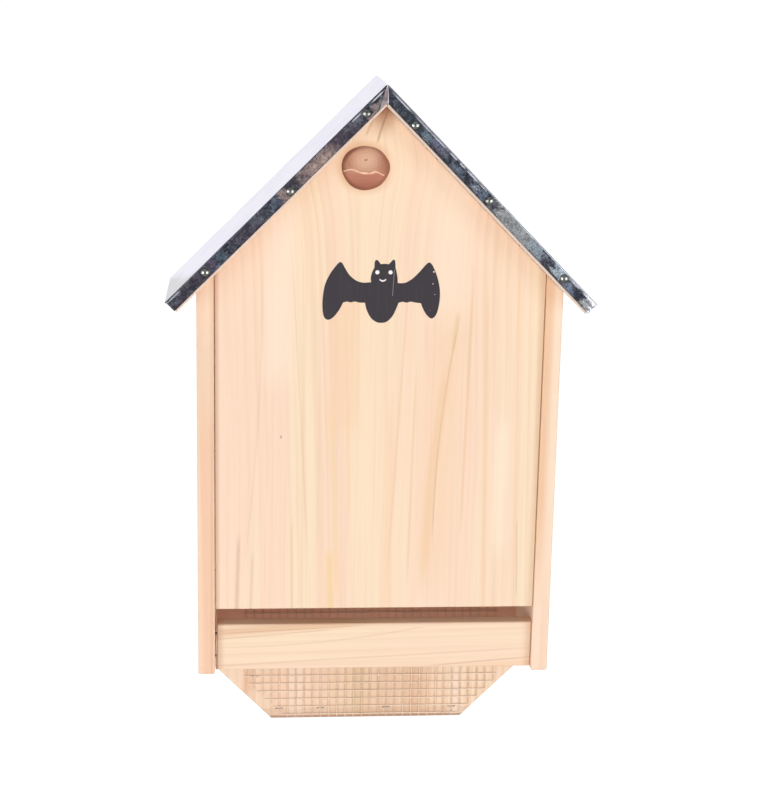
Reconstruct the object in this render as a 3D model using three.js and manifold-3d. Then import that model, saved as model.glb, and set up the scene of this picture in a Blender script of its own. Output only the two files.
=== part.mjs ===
// A wooden bat box with a folded zinc roof and a wire climbing net, hung on a wall
// by the keyhole in its back board.
//
// Millimetres. X runs to the right as seen from the front, Y runs into the wall and Z is up.
// The wall touches the plane y = 0. The origin is the middle of the screw's shank where the
// box hangs on it, in that plane.

import * as THREE from 'three';
import { mergeVertices } from 'three/addons/utils/BufferGeometryUtils.js';
import Module from 'manifold-3d';

const wasm = await Module();
wasm.setup();

// Box body. Heights are measured from the lower ends of the side boards.
const BODY_WIDTH = 254;
const SIDE_HEIGHT = 281.3;
const SIDE_DEPTH = 70;
const SIDE_THICKNESS = 12;
const BACK_THICKNESS = 12;
const EDGE_CHAMFER = 0.6;
const FOOT_ROUNDING = 1.6;

// Front panel, and the rail under it that leaves the ventilation slot open.
const PANEL_THICKNESS = 12;
const PANEL_RECESS = 1;
const PANEL_GAP_LEFT = 0.35;
const PANEL_GAP_RIGHT = 0.3;
const SLOT_HEIGHT = 12.5;
const RAIL_HEIGHT = 34.3;
const RAIL_THICKNESS = 12;
const RAIL_RISE = 2.5;
const RAIL_RECESS = 2.7;
const RAIL_GAP_LEFT = 0.5;
const RAIL_END_SLANT = 1.2;
const RAIL_GAP_RIGHT = 0.4;

// Landing: the tail of the back board, with its two lower corners cut off.
const TAIL_LENGTH = 66;
const TAIL_CORNER = 54;

// Keyhole in the back board. The box hangs this far below the gable's apex.
const HANG_DEPTH = 58.3;
const KEYHOLE_RADIUS = 5;
const KEYHOLE_SLOT_WIDTH = 5;
const KEYHOLE_RISE = 12;

// Roof boards.
const ROOF_PITCH = THREE.MathUtils.degToRad(45);
const EAVE_OVERHANG = 20.7;
const FRONT_OVERHANG = 18;
const REAR_SETBACK = 2.5;
const ROOF_BOARD_THICKNESS = 9.6;
const ROOF_SEAT_GAP = 0.3;
const MITRE_GAP = 0.3;

// Zinc sheet: one piece, bent over the ridge and folded down in front and behind.
const SHEET_THICKNESS = 0.5;
const SHEET_GAP = 0.3;
const FLANGE_HEIGHT = 8.8;
const RIDGE_BEND_RADIUS = 2;
const EAVE_NOSE = 0.3;
const EAVE_TAB_LENGTH = 12;
const EAVE_TAB_STEP = 0.3;
const RIDGE_LAP = 2;

// Climbing net, welded from two layers of wire. Its wires lie 6.35 apart. The model keeps
// every second one, and each upright one that a staple holds.
const NET_WIRE = 0.7;
const NET_WELD_DEPTH = 0.12;
const NET_WIRE_PITCH = 6.35;
const NET_KEPT_STEP = 2;
const NET_STUB = 2;
const NET_OFFSET = 2.75;
const NET_SIDE_MARGIN = 18;
const NET_BOTTOM_MARGIN = 4.3;
const NET_TOP_MARGIN = 147;
const NET_TRIM_LEFT = 8;
const NET_TRIM_RIGHT = 3;
const NET_SEAT_GAP = 0.2;

// Nails and staples.
const FLAT_NAIL = { headRadius: 2.1, headHeight: 1, shankRadius: 0.9, length: 32, point: 3 };
const COVERED_NAIL = { headRadius: 2.1, headHeight: 1, shankRadius: 0.9, length: 28, point: 3 };
const ROOF_NAIL = { headRadius: 3, headHeight: 1.9, shankRadius: 1.1, length: 18, point: 3 };
const NAIL_CLEARANCE = 0.25;
const STAPLE = { crown: 5.2, wire: 0.9, legLength: 7, point: 1, clearance: 0.15 };
const NET_STAPLE_GAP = 0.1;
const OVERRUN = 2;

// Places of the roof's nails, as shares of the slope's length and of the folded strip's height.
const frontLeftNailShares = [[0.113, 0.5], [0.459, 0.65], [0.838, 0.51]];
const frontRightNailShares = [[0.156, 0.64], [0.498, 0.53], [0.857, 0.47]];
const rearNailShares = [[0.13, 0.5], [0.48, 0.5], [0.84, 0.5]];

// Places along a length, as shares of it.
const coveredNailShares = [0.3, 0.7];
const panelNailShares = [0.12, 0.5, 0.88];
const railNailShares = [0.25, 0.75];
const backNailShares = [0.15, 0.5, 0.85];

// Staples of the net, as shares of its width or height. Each takes the nearest wire, and
// its height in a gap between two level wires is a share of that gap.
const bottomStapleShares = [0.13, 0.3, 0.57, 0.83];
const topStapleShares = [0.27, 0.73];
const leftStapleShares = [0.15, 0.85];
const rightStapleShares = [0.3, 0.85];
const edgeGapShare = 0.57;
const sideGapShare = 0.8;

// Steps in the round parts.
const NAIL_SIDES = 10;
const DOME_STEPS = 3;
const ARC_STEPS = 5;
const WIRE_SIDES = 6;

// Sizes that follow from the ones above.
const halfWidth = BODY_WIDTH / 2;
const innerHalfWidth = halfWidth - SIDE_THICKNESS;
const backFront = -BACK_THICKNESS;
const bodyFront = backFront - SIDE_DEPTH;
const panelBottom = RAIL_RISE + RAIL_HEIGHT + SLOT_HEIGHT;
const panelBack = bodyFront + PANEL_RECESS + PANEL_THICKNESS;
const railBack = bodyFront + RAIL_RECESS + RAIL_THICKNESS;
const pitchCos = Math.cos(ROOF_PITCH);
const pitchSin = Math.sin(ROOF_PITCH);
const pitchTan = Math.tan(ROOF_PITCH);
const gableApex = SIDE_HEIGHT + halfWidth * pitchTan;
const hangHeight = gableApex - HANG_DEPTH;
const boardTopDepth = SHEET_THICKNESS + SHEET_GAP;
const boardUndersideDepth = boardTopDepth + ROOF_BOARD_THICKNESS;
const ridgeHeight = gableApex + (boardUndersideDepth + ROOF_SEAT_GAP) / pitchCos;
const slopeLength = (halfWidth + EAVE_OVERHANG) / pitchCos;
const flangeEnd = slopeLength - EAVE_NOSE;
const roofFront = bodyFront - FRONT_OVERHANG;
const roofRear = -REAR_SETBACK;
const tailHalfWidth = halfWidth - TAIL_CORNER;
const keptPitch = NET_WIRE_PITCH * NET_KEPT_STEP;
const netBottom = NET_BOTTOM_MARGIN - TAIL_LENGTH;
const lastWire = Math.floor(2 * (innerHalfWidth - NET_SIDE_MARGIN) / keptPitch) * NET_KEPT_STEP;
const lastRow = Math.floor((SIDE_HEIGHT - NET_TOP_MARGIN - netBottom) / keptPitch) * NET_KEPT_STEP;
const netLeft = NET_OFFSET - NET_WIRE_PITCH * lastWire / 2;
const netRearLayer = backFront - NET_SEAT_GAP;
const netFrontLayer = netRearLayer - NET_WIRE + NET_WELD_DEPTH;

// The net is cut along the landing's slanted corners, on x + z = leftCut and x - z = rightCut.
const leftCut = NET_TRIM_LEFT * Math.SQRT2 - tailHalfWidth - TAIL_LENGTH;
const rightCut = tailHalfWidth + TAIL_LENGTH - NET_TRIM_RIGHT * Math.SQRT2;

const FRONTWARD = new THREE.Vector3(0, -1, 0);
const WALLWARD = new THREE.Vector3(0, 1, 0);

// A point on a roof slope, in the XZ plane: its distance down the slope from the ridge and
// its depth below the sheet's outer face. The side is -1 on the left and 1 on the right.
function onSlope(side, distance, depth) {
    return new THREE.Vector2(
        side * (distance * pitchCos - depth * pitchSin),
        ridgeHeight - distance * pitchSin - depth * pitchCos,
    );
}

// The height of the wooden gable's top line at x.
function gableLine(x) {
    return gableApex - Math.abs(x) * pitchTan;
}

// The places of the net's upright and level wires, counted from the left and the bottom.
function wireX(wire) {
    return netLeft + wire * NET_WIRE_PITCH;
}

function rowZ(row) {
    return netBottom + row * NET_WIRE_PITCH;
}

// One index per corner, and no triangle that has shrunk to a line.
function closedGeometry(source) {
    const bare = source.clone();
    bare.deleteAttribute('normal');
    bare.deleteAttribute('uv');
    const merged = mergeVertices(bare);
    const index = merged.index.array;
    const kept = [];
    for (let i = 0; i < index.length; i += 3) {
        const [a, b, c] = [index[i], index[i + 1], index[i + 2]];
        if (a !== b && b !== c && c !== a) {
            kept.push(a, b, c);
        }
    }
    merged.setIndex(kept);
    return merged;
}

function solidOf(geometry) {
    const closed = closedGeometry(geometry);
    return new wasm.Manifold(new wasm.Mesh({
        numProp: 3,
        vertProperties: Float32Array.from(closed.attributes.position.array),
        triVerts: Uint32Array.from(closed.index.array),
    }));
}

function geometryOf(solid) {
    const mesh = solid.getMesh();
    const geometry = new THREE.BufferGeometry();
    geometry.setAttribute('position', new THREE.BufferAttribute(mesh.vertProperties, mesh.numProp));
    geometry.setIndex(new THREE.BufferAttribute(mesh.triVerts, 1));
    geometry.computeVertexNormals();
    return geometry;
}

// An outline in the XZ plane, given a thickness along Y that ends at yRear.
function slab(shape, yRear, thickness, chamfer) {
    const geometry = new THREE.ExtrudeGeometry(shape, {
        depth: thickness - 2 * chamfer,
        bevelEnabled: chamfer > 0,
        bevelThickness: chamfer,
        bevelSize: chamfer,
        bevelOffset: -chamfer,
        bevelSegments: 1,
        curveSegments: ARC_STEPS,
    });
    geometry.rotateX(Math.PI / 2);
    geometry.translate(0, yRear - chamfer, 0);
    return geometry;
}

function backBoardShape() {
    return new THREE.Shape([
        new THREE.Vector2(-tailHalfWidth, -TAIL_LENGTH),
        new THREE.Vector2(tailHalfWidth, -TAIL_LENGTH),
        new THREE.Vector2(halfWidth, TAIL_CORNER - TAIL_LENGTH),
        new THREE.Vector2(halfWidth, SIDE_HEIGHT),
        new THREE.Vector2(0, gableApex),
        new THREE.Vector2(-halfWidth, SIDE_HEIGHT),
        new THREE.Vector2(-halfWidth, TAIL_CORNER - TAIL_LENGTH),
    ]);
}

// The round hole lets the screw's head in, and the slot above it holds the shank.
function keyholeShape() {
    const slotHalf = KEYHOLE_SLOT_WIDTH / 2;
    const mouth = Math.asin(slotHalf / KEYHOLE_RADIUS);
    const roundCentre = hangHeight - KEYHOLE_RISE;
    const up = Math.PI / 2;
    const shape = new THREE.Shape();
    shape.absarc(0, roundCentre, KEYHOLE_RADIUS, up + mouth, up - mouth + 2 * Math.PI, false);
    shape.absarc(0, hangHeight, slotHalf, 0, Math.PI, false);
    return shape;
}

function sideBoardShape(side) {
    const inner = side * innerHalfWidth;
    const outer = side * halfWidth;
    const left = Math.min(inner, outer);
    const right = Math.max(inner, outer);
    const shape = new THREE.Shape();
    shape.absarc(left + FOOT_ROUNDING, FOOT_ROUNDING, FOOT_ROUNDING, Math.PI, Math.PI * 3 / 2, false);
    shape.absarc(right - FOOT_ROUNDING, FOOT_ROUNDING, FOOT_ROUNDING, -Math.PI / 2, 0, false);
    shape.lineTo(right, gableLine(right));
    shape.lineTo(left, gableLine(left));
    return shape;
}

function frontPanelShape() {
    const left = PANEL_GAP_LEFT - innerHalfWidth;
    const right = innerHalfWidth - PANEL_GAP_RIGHT;
    return new THREE.Shape([
        new THREE.Vector2(left, panelBottom),
        new THREE.Vector2(right, panelBottom),
        new THREE.Vector2(right, gableLine(right)),
        new THREE.Vector2(0, gableApex),
        new THREE.Vector2(left, gableLine(left)),
    ]);
}

// The rail's left end is sawn slightly off square, so the joint there opens towards the top.
function railShape() {
    const left = RAIL_GAP_LEFT - innerHalfWidth;
    const right = innerHalfWidth - RAIL_GAP_RIGHT;
    return new THREE.Shape([
        new THREE.Vector2(left, RAIL_RISE),
        new THREE.Vector2(right, RAIL_RISE),
        new THREE.Vector2(right, RAIL_RISE + RAIL_HEIGHT),
        new THREE.Vector2(left + RAIL_END_SLANT, RAIL_RISE + RAIL_HEIGHT),
    ]);
}

// Mitred at the ridge, where a narrow flat clears the bend of the zinc, with its lower end
// just inside the folded tab.
function roofBoardShape(side) {
    const x = side * MITRE_GAP / 2;
    const flat = RIDGE_BEND_RADIUS / 2;
    const end = flangeEnd - SHEET_THICKNESS - SHEET_GAP;
    const ridgeLine = (depth) => ridgeHeight - depth / pitchCos - Math.abs(x) * pitchTan;
    const flatHeight = ridgeLine(boardTopDepth) - flat * pitchTan;
    return new THREE.Shape([
        new THREE.Vector2(x, flatHeight),
        new THREE.Vector2(x + side * flat, flatHeight),
        onSlope(side, end, boardTopDepth),
        onSlope(side, end, boardUndersideDepth),
        new THREE.Vector2(x, ridgeLine(boardUndersideDepth)),
    ]);
}

// The bent top of the sheet, seen from the front, with a round bend at the ridge.
function sheetTopShape() {
    const bendStart = RIDGE_BEND_RADIUS * pitchTan;
    const bendHeight = ridgeHeight - RIDGE_BEND_RADIUS / pitchCos;
    const rise = Math.PI / 2 - ROOF_PITCH;
    const shape = new THREE.Shape();
    shape.moveTo(...onSlope(1, slopeLength, SHEET_THICKNESS));
    shape.lineTo(...onSlope(1, slopeLength, 0));
    shape.lineTo(...onSlope(1, bendStart, 0));
    shape.absarc(0, bendHeight, RIDGE_BEND_RADIUS, rise, Math.PI - rise, false);
    shape.lineTo(...onSlope(-1, slopeLength, 0));
    shape.lineTo(...onSlope(-1, slopeLength, SHEET_THICKNESS));
    shape.absarc(0, bendHeight, RIDGE_BEND_RADIUS - SHEET_THICKNESS, Math.PI - rise, rise, true);
    return shape;
}

// The folded strip under the sheet's front or rear edge: two arms that meet at the ridge.
function flangeShape() {
    const top = SHEET_THICKNESS / 2;
    const end = flangeEnd - SHEET_THICKNESS / 2;
    return new THREE.Shape([
        new THREE.Vector2(0, ridgeHeight - top / pitchCos - RIDGE_BEND_RADIUS * (1 / pitchCos - 1)),
        onSlope(-1, end, top),
        onSlope(-1, end, FLANGE_HEIGHT),
        new THREE.Vector2(0, ridgeHeight - FLANGE_HEIGHT / pitchCos),
        onSlope(1, end, FLANGE_HEIGHT),
        onSlope(1, end, top),
    ]);
}

// The end of the left arm, folded over the start of the right one.
function ridgeLapShape() {
    const top = SHEET_THICKNESS + RIDGE_BEND_RADIUS;
    const line = (x, depth) => new THREE.Vector2(x, ridgeHeight - depth / pitchCos - x * pitchTan);
    return new THREE.Shape([
        line(0, top),
        line(0, FLANGE_HEIGHT),
        line(RIDGE_LAP, FLANGE_HEIGHT),
        line(RIDGE_LAP, top),
    ]);
}

// The end of a folded strip turns round the end of the roof board, a little less deep there.
function eaveTabShape(side) {
    const top = SHEET_THICKNESS - EAVE_TAB_STEP;
    const bottom = FLANGE_HEIGHT - EAVE_TAB_STEP;
    return new THREE.Shape([
        onSlope(side, flangeEnd - SHEET_THICKNESS, top),
        onSlope(side, flangeEnd, top),
        onSlope(side, flangeEnd, bottom),
        onSlope(side, flangeEnd - SHEET_THICKNESS, bottom),
    ]);
}

function zincSheet() {
    let sheet = solidOf(slab(sheetTopShape(), roofRear, roofRear - roofFront, 0));
    const frontRear = roofFront + SHEET_THICKNESS;
    sheet = sheet.add(solidOf(slab(flangeShape(), frontRear, SHEET_THICKNESS, 0)));
    sheet = sheet.add(solidOf(slab(flangeShape(), roofRear, SHEET_THICKNESS, 0)));
    sheet = sheet.add(solidOf(slab(ridgeLapShape(), roofFront, SHEET_THICKNESS, 0)));
    for (const side of [-1, 1]) {
        const frontTabRear = roofFront + EAVE_TAB_LENGTH;
        sheet = sheet.add(solidOf(slab(eaveTabShape(side), frontTabRear, EAVE_TAB_LENGTH, 0)));
        sheet = sheet.add(solidOf(slab(eaveTabShape(side), roofRear, EAVE_TAB_LENGTH, 0)));
    }
    return sheet;
}

// A straight wire along Z with flat sides in front and behind, from one height to another.
function wireAlongZ(x, yRear, zLow, zHigh) {
    const corner = NET_WIRE / 2 / Math.cos(Math.PI / WIRE_SIDES);
    const points = [];
    for (let i = 0; i < WIRE_SIDES; i += 1) {
        const angle = i * 2 * Math.PI / WIRE_SIDES;
        points.push(new THREE.Vector2(corner * Math.cos(angle), corner * Math.sin(angle)));
    }
    const geometry = new THREE.ExtrudeGeometry(new THREE.Shape(points), {
        depth: zHigh - zLow,
        bevelEnabled: false,
    });
    geometry.translate(x, yRear - NET_WIRE / 2, zLow);
    return geometry;
}

function wireAlongX(z, yRear, xLow, xHigh) {
    const geometry = wireAlongZ(0, yRear, xLow, xHigh);
    geometry.rotateY(Math.PI / 2);
    geometry.translate(0, 0, z);
    return geometry;
}

function climbingNet() {
    const held = new Set(staples.map((staple) => staple.wire));
    const netRight = wireX(lastWire);
    const netTop = rowZ(lastRow);
    const wires = [];
    for (let wire = 0; wire <= lastWire; wire += 1) {
        if (wire % NET_KEPT_STEP === 0 || held.has(wire)) {
            const x = wireX(wire);
            const low = Math.max(netBottom - NET_STUB, leftCut - x, x - rightCut);
            wires.push(wireAlongZ(x, netRearLayer, low, netTop + NET_STUB));
        }
    }
    for (let row = 0; row <= lastRow; row += NET_KEPT_STEP) {
        const z = rowZ(row);
        const left = Math.max(netLeft - NET_STUB, leftCut - z);
        const right = Math.min(netRight + NET_STUB, rightCut + z);
        wires.push(wireAlongX(z, netFrontLayer, left, right));
    }
    return wires.map(solidOf).reduce((net, wire) => net.add(wire));
}

// Nails stand along their own Y axis: the seat of the head at zero, the point below.
function flatNailProfile(nail) {
    return [
        new THREE.Vector2(0, -nail.length),
        new THREE.Vector2(nail.shankRadius, nail.point - nail.length),
        new THREE.Vector2(nail.shankRadius, -nail.headHeight),
        new THREE.Vector2(nail.headRadius, -nail.headHeight / 2),
        new THREE.Vector2(nail.headRadius, 0),
        new THREE.Vector2(0, 0),
    ];
}

function domeNailProfile(nail) {
    const points = [
        new THREE.Vector2(0, -nail.length),
        new THREE.Vector2(nail.shankRadius, nail.point - nail.length),
        new THREE.Vector2(nail.shankRadius, 0),
    ];
    for (let step = 0; step < DOME_STEPS; step += 1) {
        const angle = step / DOME_STEPS * Math.PI / 2;
        points.push(new THREE.Vector2(
            nail.headRadius * Math.cos(angle),
            nail.headHeight * Math.sin(angle),
        ));
    }
    points.push(new THREE.Vector2(0, nail.headHeight));
    return points;
}

// The hole that a nail needs in wood or zinc, with a recess where its head is sunk.
function nailHoleProfile(nail, sunk) {
    const shank = nail.shankRadius + NAIL_CLEARANCE;
    const recess = sunk ? nail.headRadius + NAIL_CLEARANCE : shank;
    const depth = sunk ? nail.headHeight + NAIL_CLEARANCE : 0;
    return [
        new THREE.Vector2(0, -nail.length - NAIL_CLEARANCE),
        new THREE.Vector2(shank, -nail.length - NAIL_CLEARANCE),
        new THREE.Vector2(shank, -depth),
        new THREE.Vector2(recess, -depth),
        new THREE.Vector2(recess, OVERRUN),
        new THREE.Vector2(0, OVERRUN),
    ].filter((point, i, all) => i === 0 || !point.equals(all[i - 1]));
}

// A staple: crown along X, legs into the board along Y, chisel points.
function stapleShape(legLength, growth) {
    const half = STAPLE.crown / 2 + growth;
    const inside = half - STAPLE.wire - 2 * growth;
    const crownRear = netRearLayer - NET_WIRE - NET_STAPLE_GAP;
    const crownFront = crownRear - STAPLE.wire;
    const tip = backFront + legLength;
    return new THREE.Shape([
        new THREE.Vector2(-half, crownFront),
        new THREE.Vector2(half, crownFront),
        new THREE.Vector2(half, tip - STAPLE.point),
        new THREE.Vector2(inside, tip),
        new THREE.Vector2(inside, crownRear),
        new THREE.Vector2(-inside, crownRear),
        new THREE.Vector2(-inside, tip),
        new THREE.Vector2(-half, tip - STAPLE.point),
    ]);
}

function stapleGeometry(growth) {
    const thickness = STAPLE.wire + 2 * growth;
    const geometry = new THREE.ExtrudeGeometry(stapleShape(STAPLE.legLength + growth, growth), {
        depth: thickness,
        bevelEnabled: false,
    });
    geometry.translate(0, 0, -thickness / 2);
    return geometry;
}

// Fasteners. Each one has a name, the place of its head's seat, the direction that its head
// faces, its own kind and the pieces that it goes through.
const fasteners = [];

function addNail(name, nail, at, facing, through, options) {
    fasteners.push({ name, nail, at, facing, through, ...options });
}

function addRoofNails() {
    const rows = [
        ['roof_nail_front_left', -1, frontLeftNailShares, roofFront, FRONTWARD],
        ['roof_nail_front_right', 1, frontRightNailShares, roofFront, FRONTWARD],
        ['roof_nail_rear_left', -1, rearNailShares, roofRear, WALLWARD],
        ['roof_nail_rear_right', 1, rearNailShares, roofRear, WALLWARD],
    ];
    for (const [label, side, shares, y, facing] of rows) {
        const board = side < 0 ? 'roof_board_left' : 'roof_board_right';
        shares.forEach(([along, down], i) => {
            const place = onSlope(side, along * slopeLength, down * FLANGE_HEIGHT);
            const at = new THREE.Vector3(place.x, y, place.y);
            addNail(`${label}_${i + 1}`, ROOF_NAIL, at, facing, ['zinc_roof_sheet', board], { dome: true });
        });
    }
}

// Nails under the zinc that hold the roof boards to the front panel and the back board.
function addCoveredNails() {
    const rows = [
        ['front', panelBack - PANEL_THICKNESS / 2, 'front_panel'],
        ['rear', backFront / 2, 'back_board'],
    ];
    for (const side of [-1, 1]) {
        const label = side < 0 ? 'left' : 'right';
        const facing = new THREE.Vector3(side * pitchSin, 0, pitchCos);
        for (const [end, y, carrier] of rows) {
            coveredNailShares.forEach((share, i) => {
                const place = onSlope(side, share * slopeLength, boardTopDepth);
                const at = new THREE.Vector3(place.x, y, place.y);
                const through = [`roof_board_${label}`, carrier];
                addNail(`roof_board_nail_${label}_${end}_${i + 1}`, COVERED_NAIL, at, facing, through);
            });
        }
    }
}

// Nails through a side board into the ends of the front panel and the rail.
function addSideNails() {
    const panelHeight = SIDE_HEIGHT - panelBottom;
    for (const side of [-1, 1]) {
        const label = side < 0 ? 'left' : 'right';
        const facing = new THREE.Vector3(side, 0, 0);
        panelNailShares.forEach((share, i) => {
            const z = panelBottom + share * panelHeight;
            const at = new THREE.Vector3(side * halfWidth, panelBack - PANEL_THICKNESS / 2, z);
            const through = [`side_board_${label}`, 'front_panel'];
            addNail(`panel_nail_${label}_${i + 1}`, FLAT_NAIL, at, facing, through);
        });
        railNailShares.forEach((share, i) => {
            const z = RAIL_RISE + share * RAIL_HEIGHT;
            const at = new THREE.Vector3(side * halfWidth, railBack - RAIL_THICKNESS / 2, z);
            const through = [`side_board_${label}`, 'lower_front_rail'];
            addNail(`rail_nail_${label}_${i + 1}`, FLAT_NAIL, at, facing, through);
        });
    }
}

// Nails through the back board into the rear edges of the side boards.
function addBackNails() {
    for (const side of [-1, 1]) {
        const label = side < 0 ? 'left' : 'right';
        backNailShares.forEach((share, i) => {
            const x = side * (halfWidth - SIDE_THICKNESS / 2);
            const at = new THREE.Vector3(x, 0, share * SIDE_HEIGHT);
            const through = ['back_board', `side_board_${label}`];
            addNail(`back_nail_${label}_${i + 1}`, FLAT_NAIL, at, WALLWARD, through);
        });
    }
}

// Where the staples sit: across an upright wire, in a gap between two level wires.
function staplePlaces() {
    const places = [];
    const add = (label, wire, row, gapShare) => {
        places.push({ name: `mesh_staple_${label}`, wire, x: wireX(wire), z: rowZ(row + gapShare) });
    };
    bottomStapleShares.forEach((share, i) => {
        add(`bottom_${i + 1}`, Math.round(share * lastWire), 0, edgeGapShare);
    });
    leftStapleShares.forEach((share, i) => {
        add(`left_${i + 1}`, 1, Math.floor(share * lastRow), sideGapShare);
    });
    rightStapleShares.forEach((share, i) => {
        add(`right_${i + 1}`, lastWire - 1, Math.floor(share * lastRow), sideGapShare);
    });
    topStapleShares.forEach((share, i) => {
        add(`top_${i + 1}`, Math.round(share * lastWire), lastRow - 1, edgeGapShare);
    });
    return places;
}

// The rotation and place of a nail whose head faces the given way.
function nailMatrix({ at, facing }) {
    const turn = new THREE.Quaternion().setFromUnitVectors(new THREE.Vector3(0, 1, 0), facing);
    return new THREE.Matrix4().compose(at, turn, new THREE.Vector3(1, 1, 1));
}

function nailGeometry({ nail, dome }) {
    const profile = dome ? domeNailProfile(nail) : flatNailProfile(nail);
    return closedGeometry(new THREE.LatheGeometry(profile, NAIL_SIDES));
}

function nailHole(fastener) {
    const profile = nailHoleProfile(fastener.nail, !fastener.dome);
    const geometry = new THREE.LatheGeometry(profile, NAIL_SIDES);
    geometry.applyMatrix4(nailMatrix(fastener));
    return solidOf(geometry);
}

// Every hole that fasteners need in one named piece.
function drill(name, solid) {
    return fasteners
        .filter((fastener) => fastener.through.includes(name))
        .reduce((left, fastener) => left.subtract(nailHole(fastener)), solid);
}

addRoofNails();
addCoveredNails();
addSideNails();
addBackNails();
const staples = staplePlaces();

// Finishes.
const paleWood = { color: 0xfbdcc0, roughness: 0.75, metalness: 0 };
const warmWood = { color: 0xf6cdab, roughness: 0.75, metalness: 0 };
const zinc = { color: 0x9aa0ac, roughness: 0.3, metalness: 1 };
const nailSteel = { color: 0xc4c6ca, roughness: 0.35, metalness: 1 };
const netSteel = { color: 0x8c8078, roughness: 0.5, metalness: 1 };

const box = new THREE.Group();
box.position.z = -hangHeight;

function addPiece(name, geometry, finish) {
    const piece = new THREE.Mesh(geometry, new THREE.MeshStandardMaterial(finish));
    piece.name = name;
    box.add(piece);
    return piece;
}

function addBoard(name, geometry, finish) {
    addPiece(name, geometryOf(drill(name, solidOf(geometry))), finish);
}

function addBackBoard() {
    let board = drill('back_board', solidOf(slab(backBoardShape(), 0, BACK_THICKNESS, EDGE_CHAMFER)));
    const keyholeDepth = BACK_THICKNESS + 2 * OVERRUN;
    board = board.subtract(solidOf(slab(keyholeShape(), OVERRUN, keyholeDepth, 0)));
    for (const { x, z } of staples) {
        const hole = stapleGeometry(STAPLE.clearance);
        hole.translate(x, 0, z);
        board = board.subtract(solidOf(hole));
    }
    addPiece('back_board', geometryOf(board), paleWood);
}

addBackBoard();
for (const side of [-1, 1]) {
    const label = side < 0 ? 'left' : 'right';
    const sideBoard = slab(sideBoardShape(side), backFront, SIDE_DEPTH, EDGE_CHAMFER);
    addBoard(`side_board_${label}`, sideBoard, warmWood);
}
addBoard('front_panel', slab(frontPanelShape(), panelBack, PANEL_THICKNESS, EDGE_CHAMFER), paleWood);
addBoard('lower_front_rail', slab(railShape(), railBack, RAIL_THICKNESS, EDGE_CHAMFER), paleWood);
for (const side of [-1, 1]) {
    const label = side < 0 ? 'left' : 'right';
    const rear = roofRear - SHEET_THICKNESS - SHEET_GAP;
    const front = roofFront + SHEET_THICKNESS + SHEET_GAP;
    const roofBoard = slab(roofBoardShape(side), rear, rear - front, EDGE_CHAMFER);
    addBoard(`roof_board_${label}`, roofBoard, warmWood);
}
addPiece('zinc_roof_sheet', geometryOf(drill('zinc_roof_sheet', zincSheet())), zinc);
addPiece('climbing_mesh', geometryOf(climbingNet()), netSteel);

for (const fastener of fasteners) {
    const nail = addPiece(fastener.name, nailGeometry(fastener), nailSteel);
    nail.applyMatrix4(nailMatrix(fastener));
}

for (const { name, x, z } of staples) {
    const staple = addPiece(name, closedGeometry(stapleGeometry(0)), netSteel);
    staple.position.set(x, 0, z);
}

export default box;
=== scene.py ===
"""Looks of a wooden bat box with a folded zinc roof and a welded climbing net.

Sizes in the classes are millimetres in the frame of the part: the keyhole's hanging
point is the origin, the box faces -Y and +Z is up. Meshes are made in metres.
"""
import logging
import math
from abc import ABC, abstractmethod
from collections.abc import Callable, Sequence
from dataclasses import dataclass, field
from enum import Enum

import bmesh
import bpy
from bpy.types import Material, Mesh, Node, NodeSocket, NodeTree, Object, World
from mathutils import Matrix, Vector, noise
from mathutils.geometry import tessellate_polygon


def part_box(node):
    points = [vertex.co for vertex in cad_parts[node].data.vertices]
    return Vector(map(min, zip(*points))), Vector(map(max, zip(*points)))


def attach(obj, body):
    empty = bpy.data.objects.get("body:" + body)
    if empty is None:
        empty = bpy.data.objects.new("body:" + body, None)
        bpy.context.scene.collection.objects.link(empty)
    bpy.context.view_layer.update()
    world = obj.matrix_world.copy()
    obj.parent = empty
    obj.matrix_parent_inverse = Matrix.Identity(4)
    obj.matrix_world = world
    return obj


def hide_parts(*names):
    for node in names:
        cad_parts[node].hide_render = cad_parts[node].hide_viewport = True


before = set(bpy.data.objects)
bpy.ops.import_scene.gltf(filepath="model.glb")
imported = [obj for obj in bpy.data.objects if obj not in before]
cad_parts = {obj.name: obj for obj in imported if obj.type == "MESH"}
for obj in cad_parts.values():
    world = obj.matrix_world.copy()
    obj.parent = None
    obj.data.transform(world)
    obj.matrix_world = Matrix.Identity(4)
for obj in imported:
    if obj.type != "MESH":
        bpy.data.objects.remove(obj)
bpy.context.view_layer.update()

Colour = tuple[int, int, int]
Point2 = tuple[float, float]
Point3 = tuple[float, float, float]

LOG = logging.getLogger("bat_box")
MM = 0.001
TO_MM = 1000.0
BODY = "root"
SLOPE_COS = math.cos(math.radians(45))
PANEL_FACE = -81.0
KNOT_CENTRE: Point2 = (-12.5, 15.7)
NET_LEFT = -92.5
NET_PITCH = 6.35
NET_LAST = 30
BOX_LOW = -366.0


def linear(colour: Colour) -> tuple[float, float, float, float]:
    """Turns a display colour into the linear colour that a shader takes.

    Args:
        colour: Red, green and blue from 0 to 255.

    Returns:
        Linear red, green, blue and an alpha of 1.
    """
    def channel(value: int) -> float:
        """Linear value of one channel."""
        share = value / 255
        return share / 12.92 if share <= 0.04045 else ((share + 0.055) / 1.055) ** 2.4

    red, green, blue = (channel(value) for value in colour)
    return (red, green, blue, 1.0)


def smooth_share(low: float, high: float, value: float) -> float:
    """Rises smoothly from 0 at low to 1 at high.

    Args:
        low: Where the rise starts.
        high: Where it ends.
        value: Where it is read.

    Returns:
        A share from 0 to 1.
    """
    share = min(max((value - low) / (high - low), 0.0), 1.0)
    return share * share * (3 - 2 * share)


def round_turn(count: int) -> list[float]:
    """Angles of a number of even steps round a circle."""
    return [i * math.tau / count for i in range(count)]


# Node trees


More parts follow.
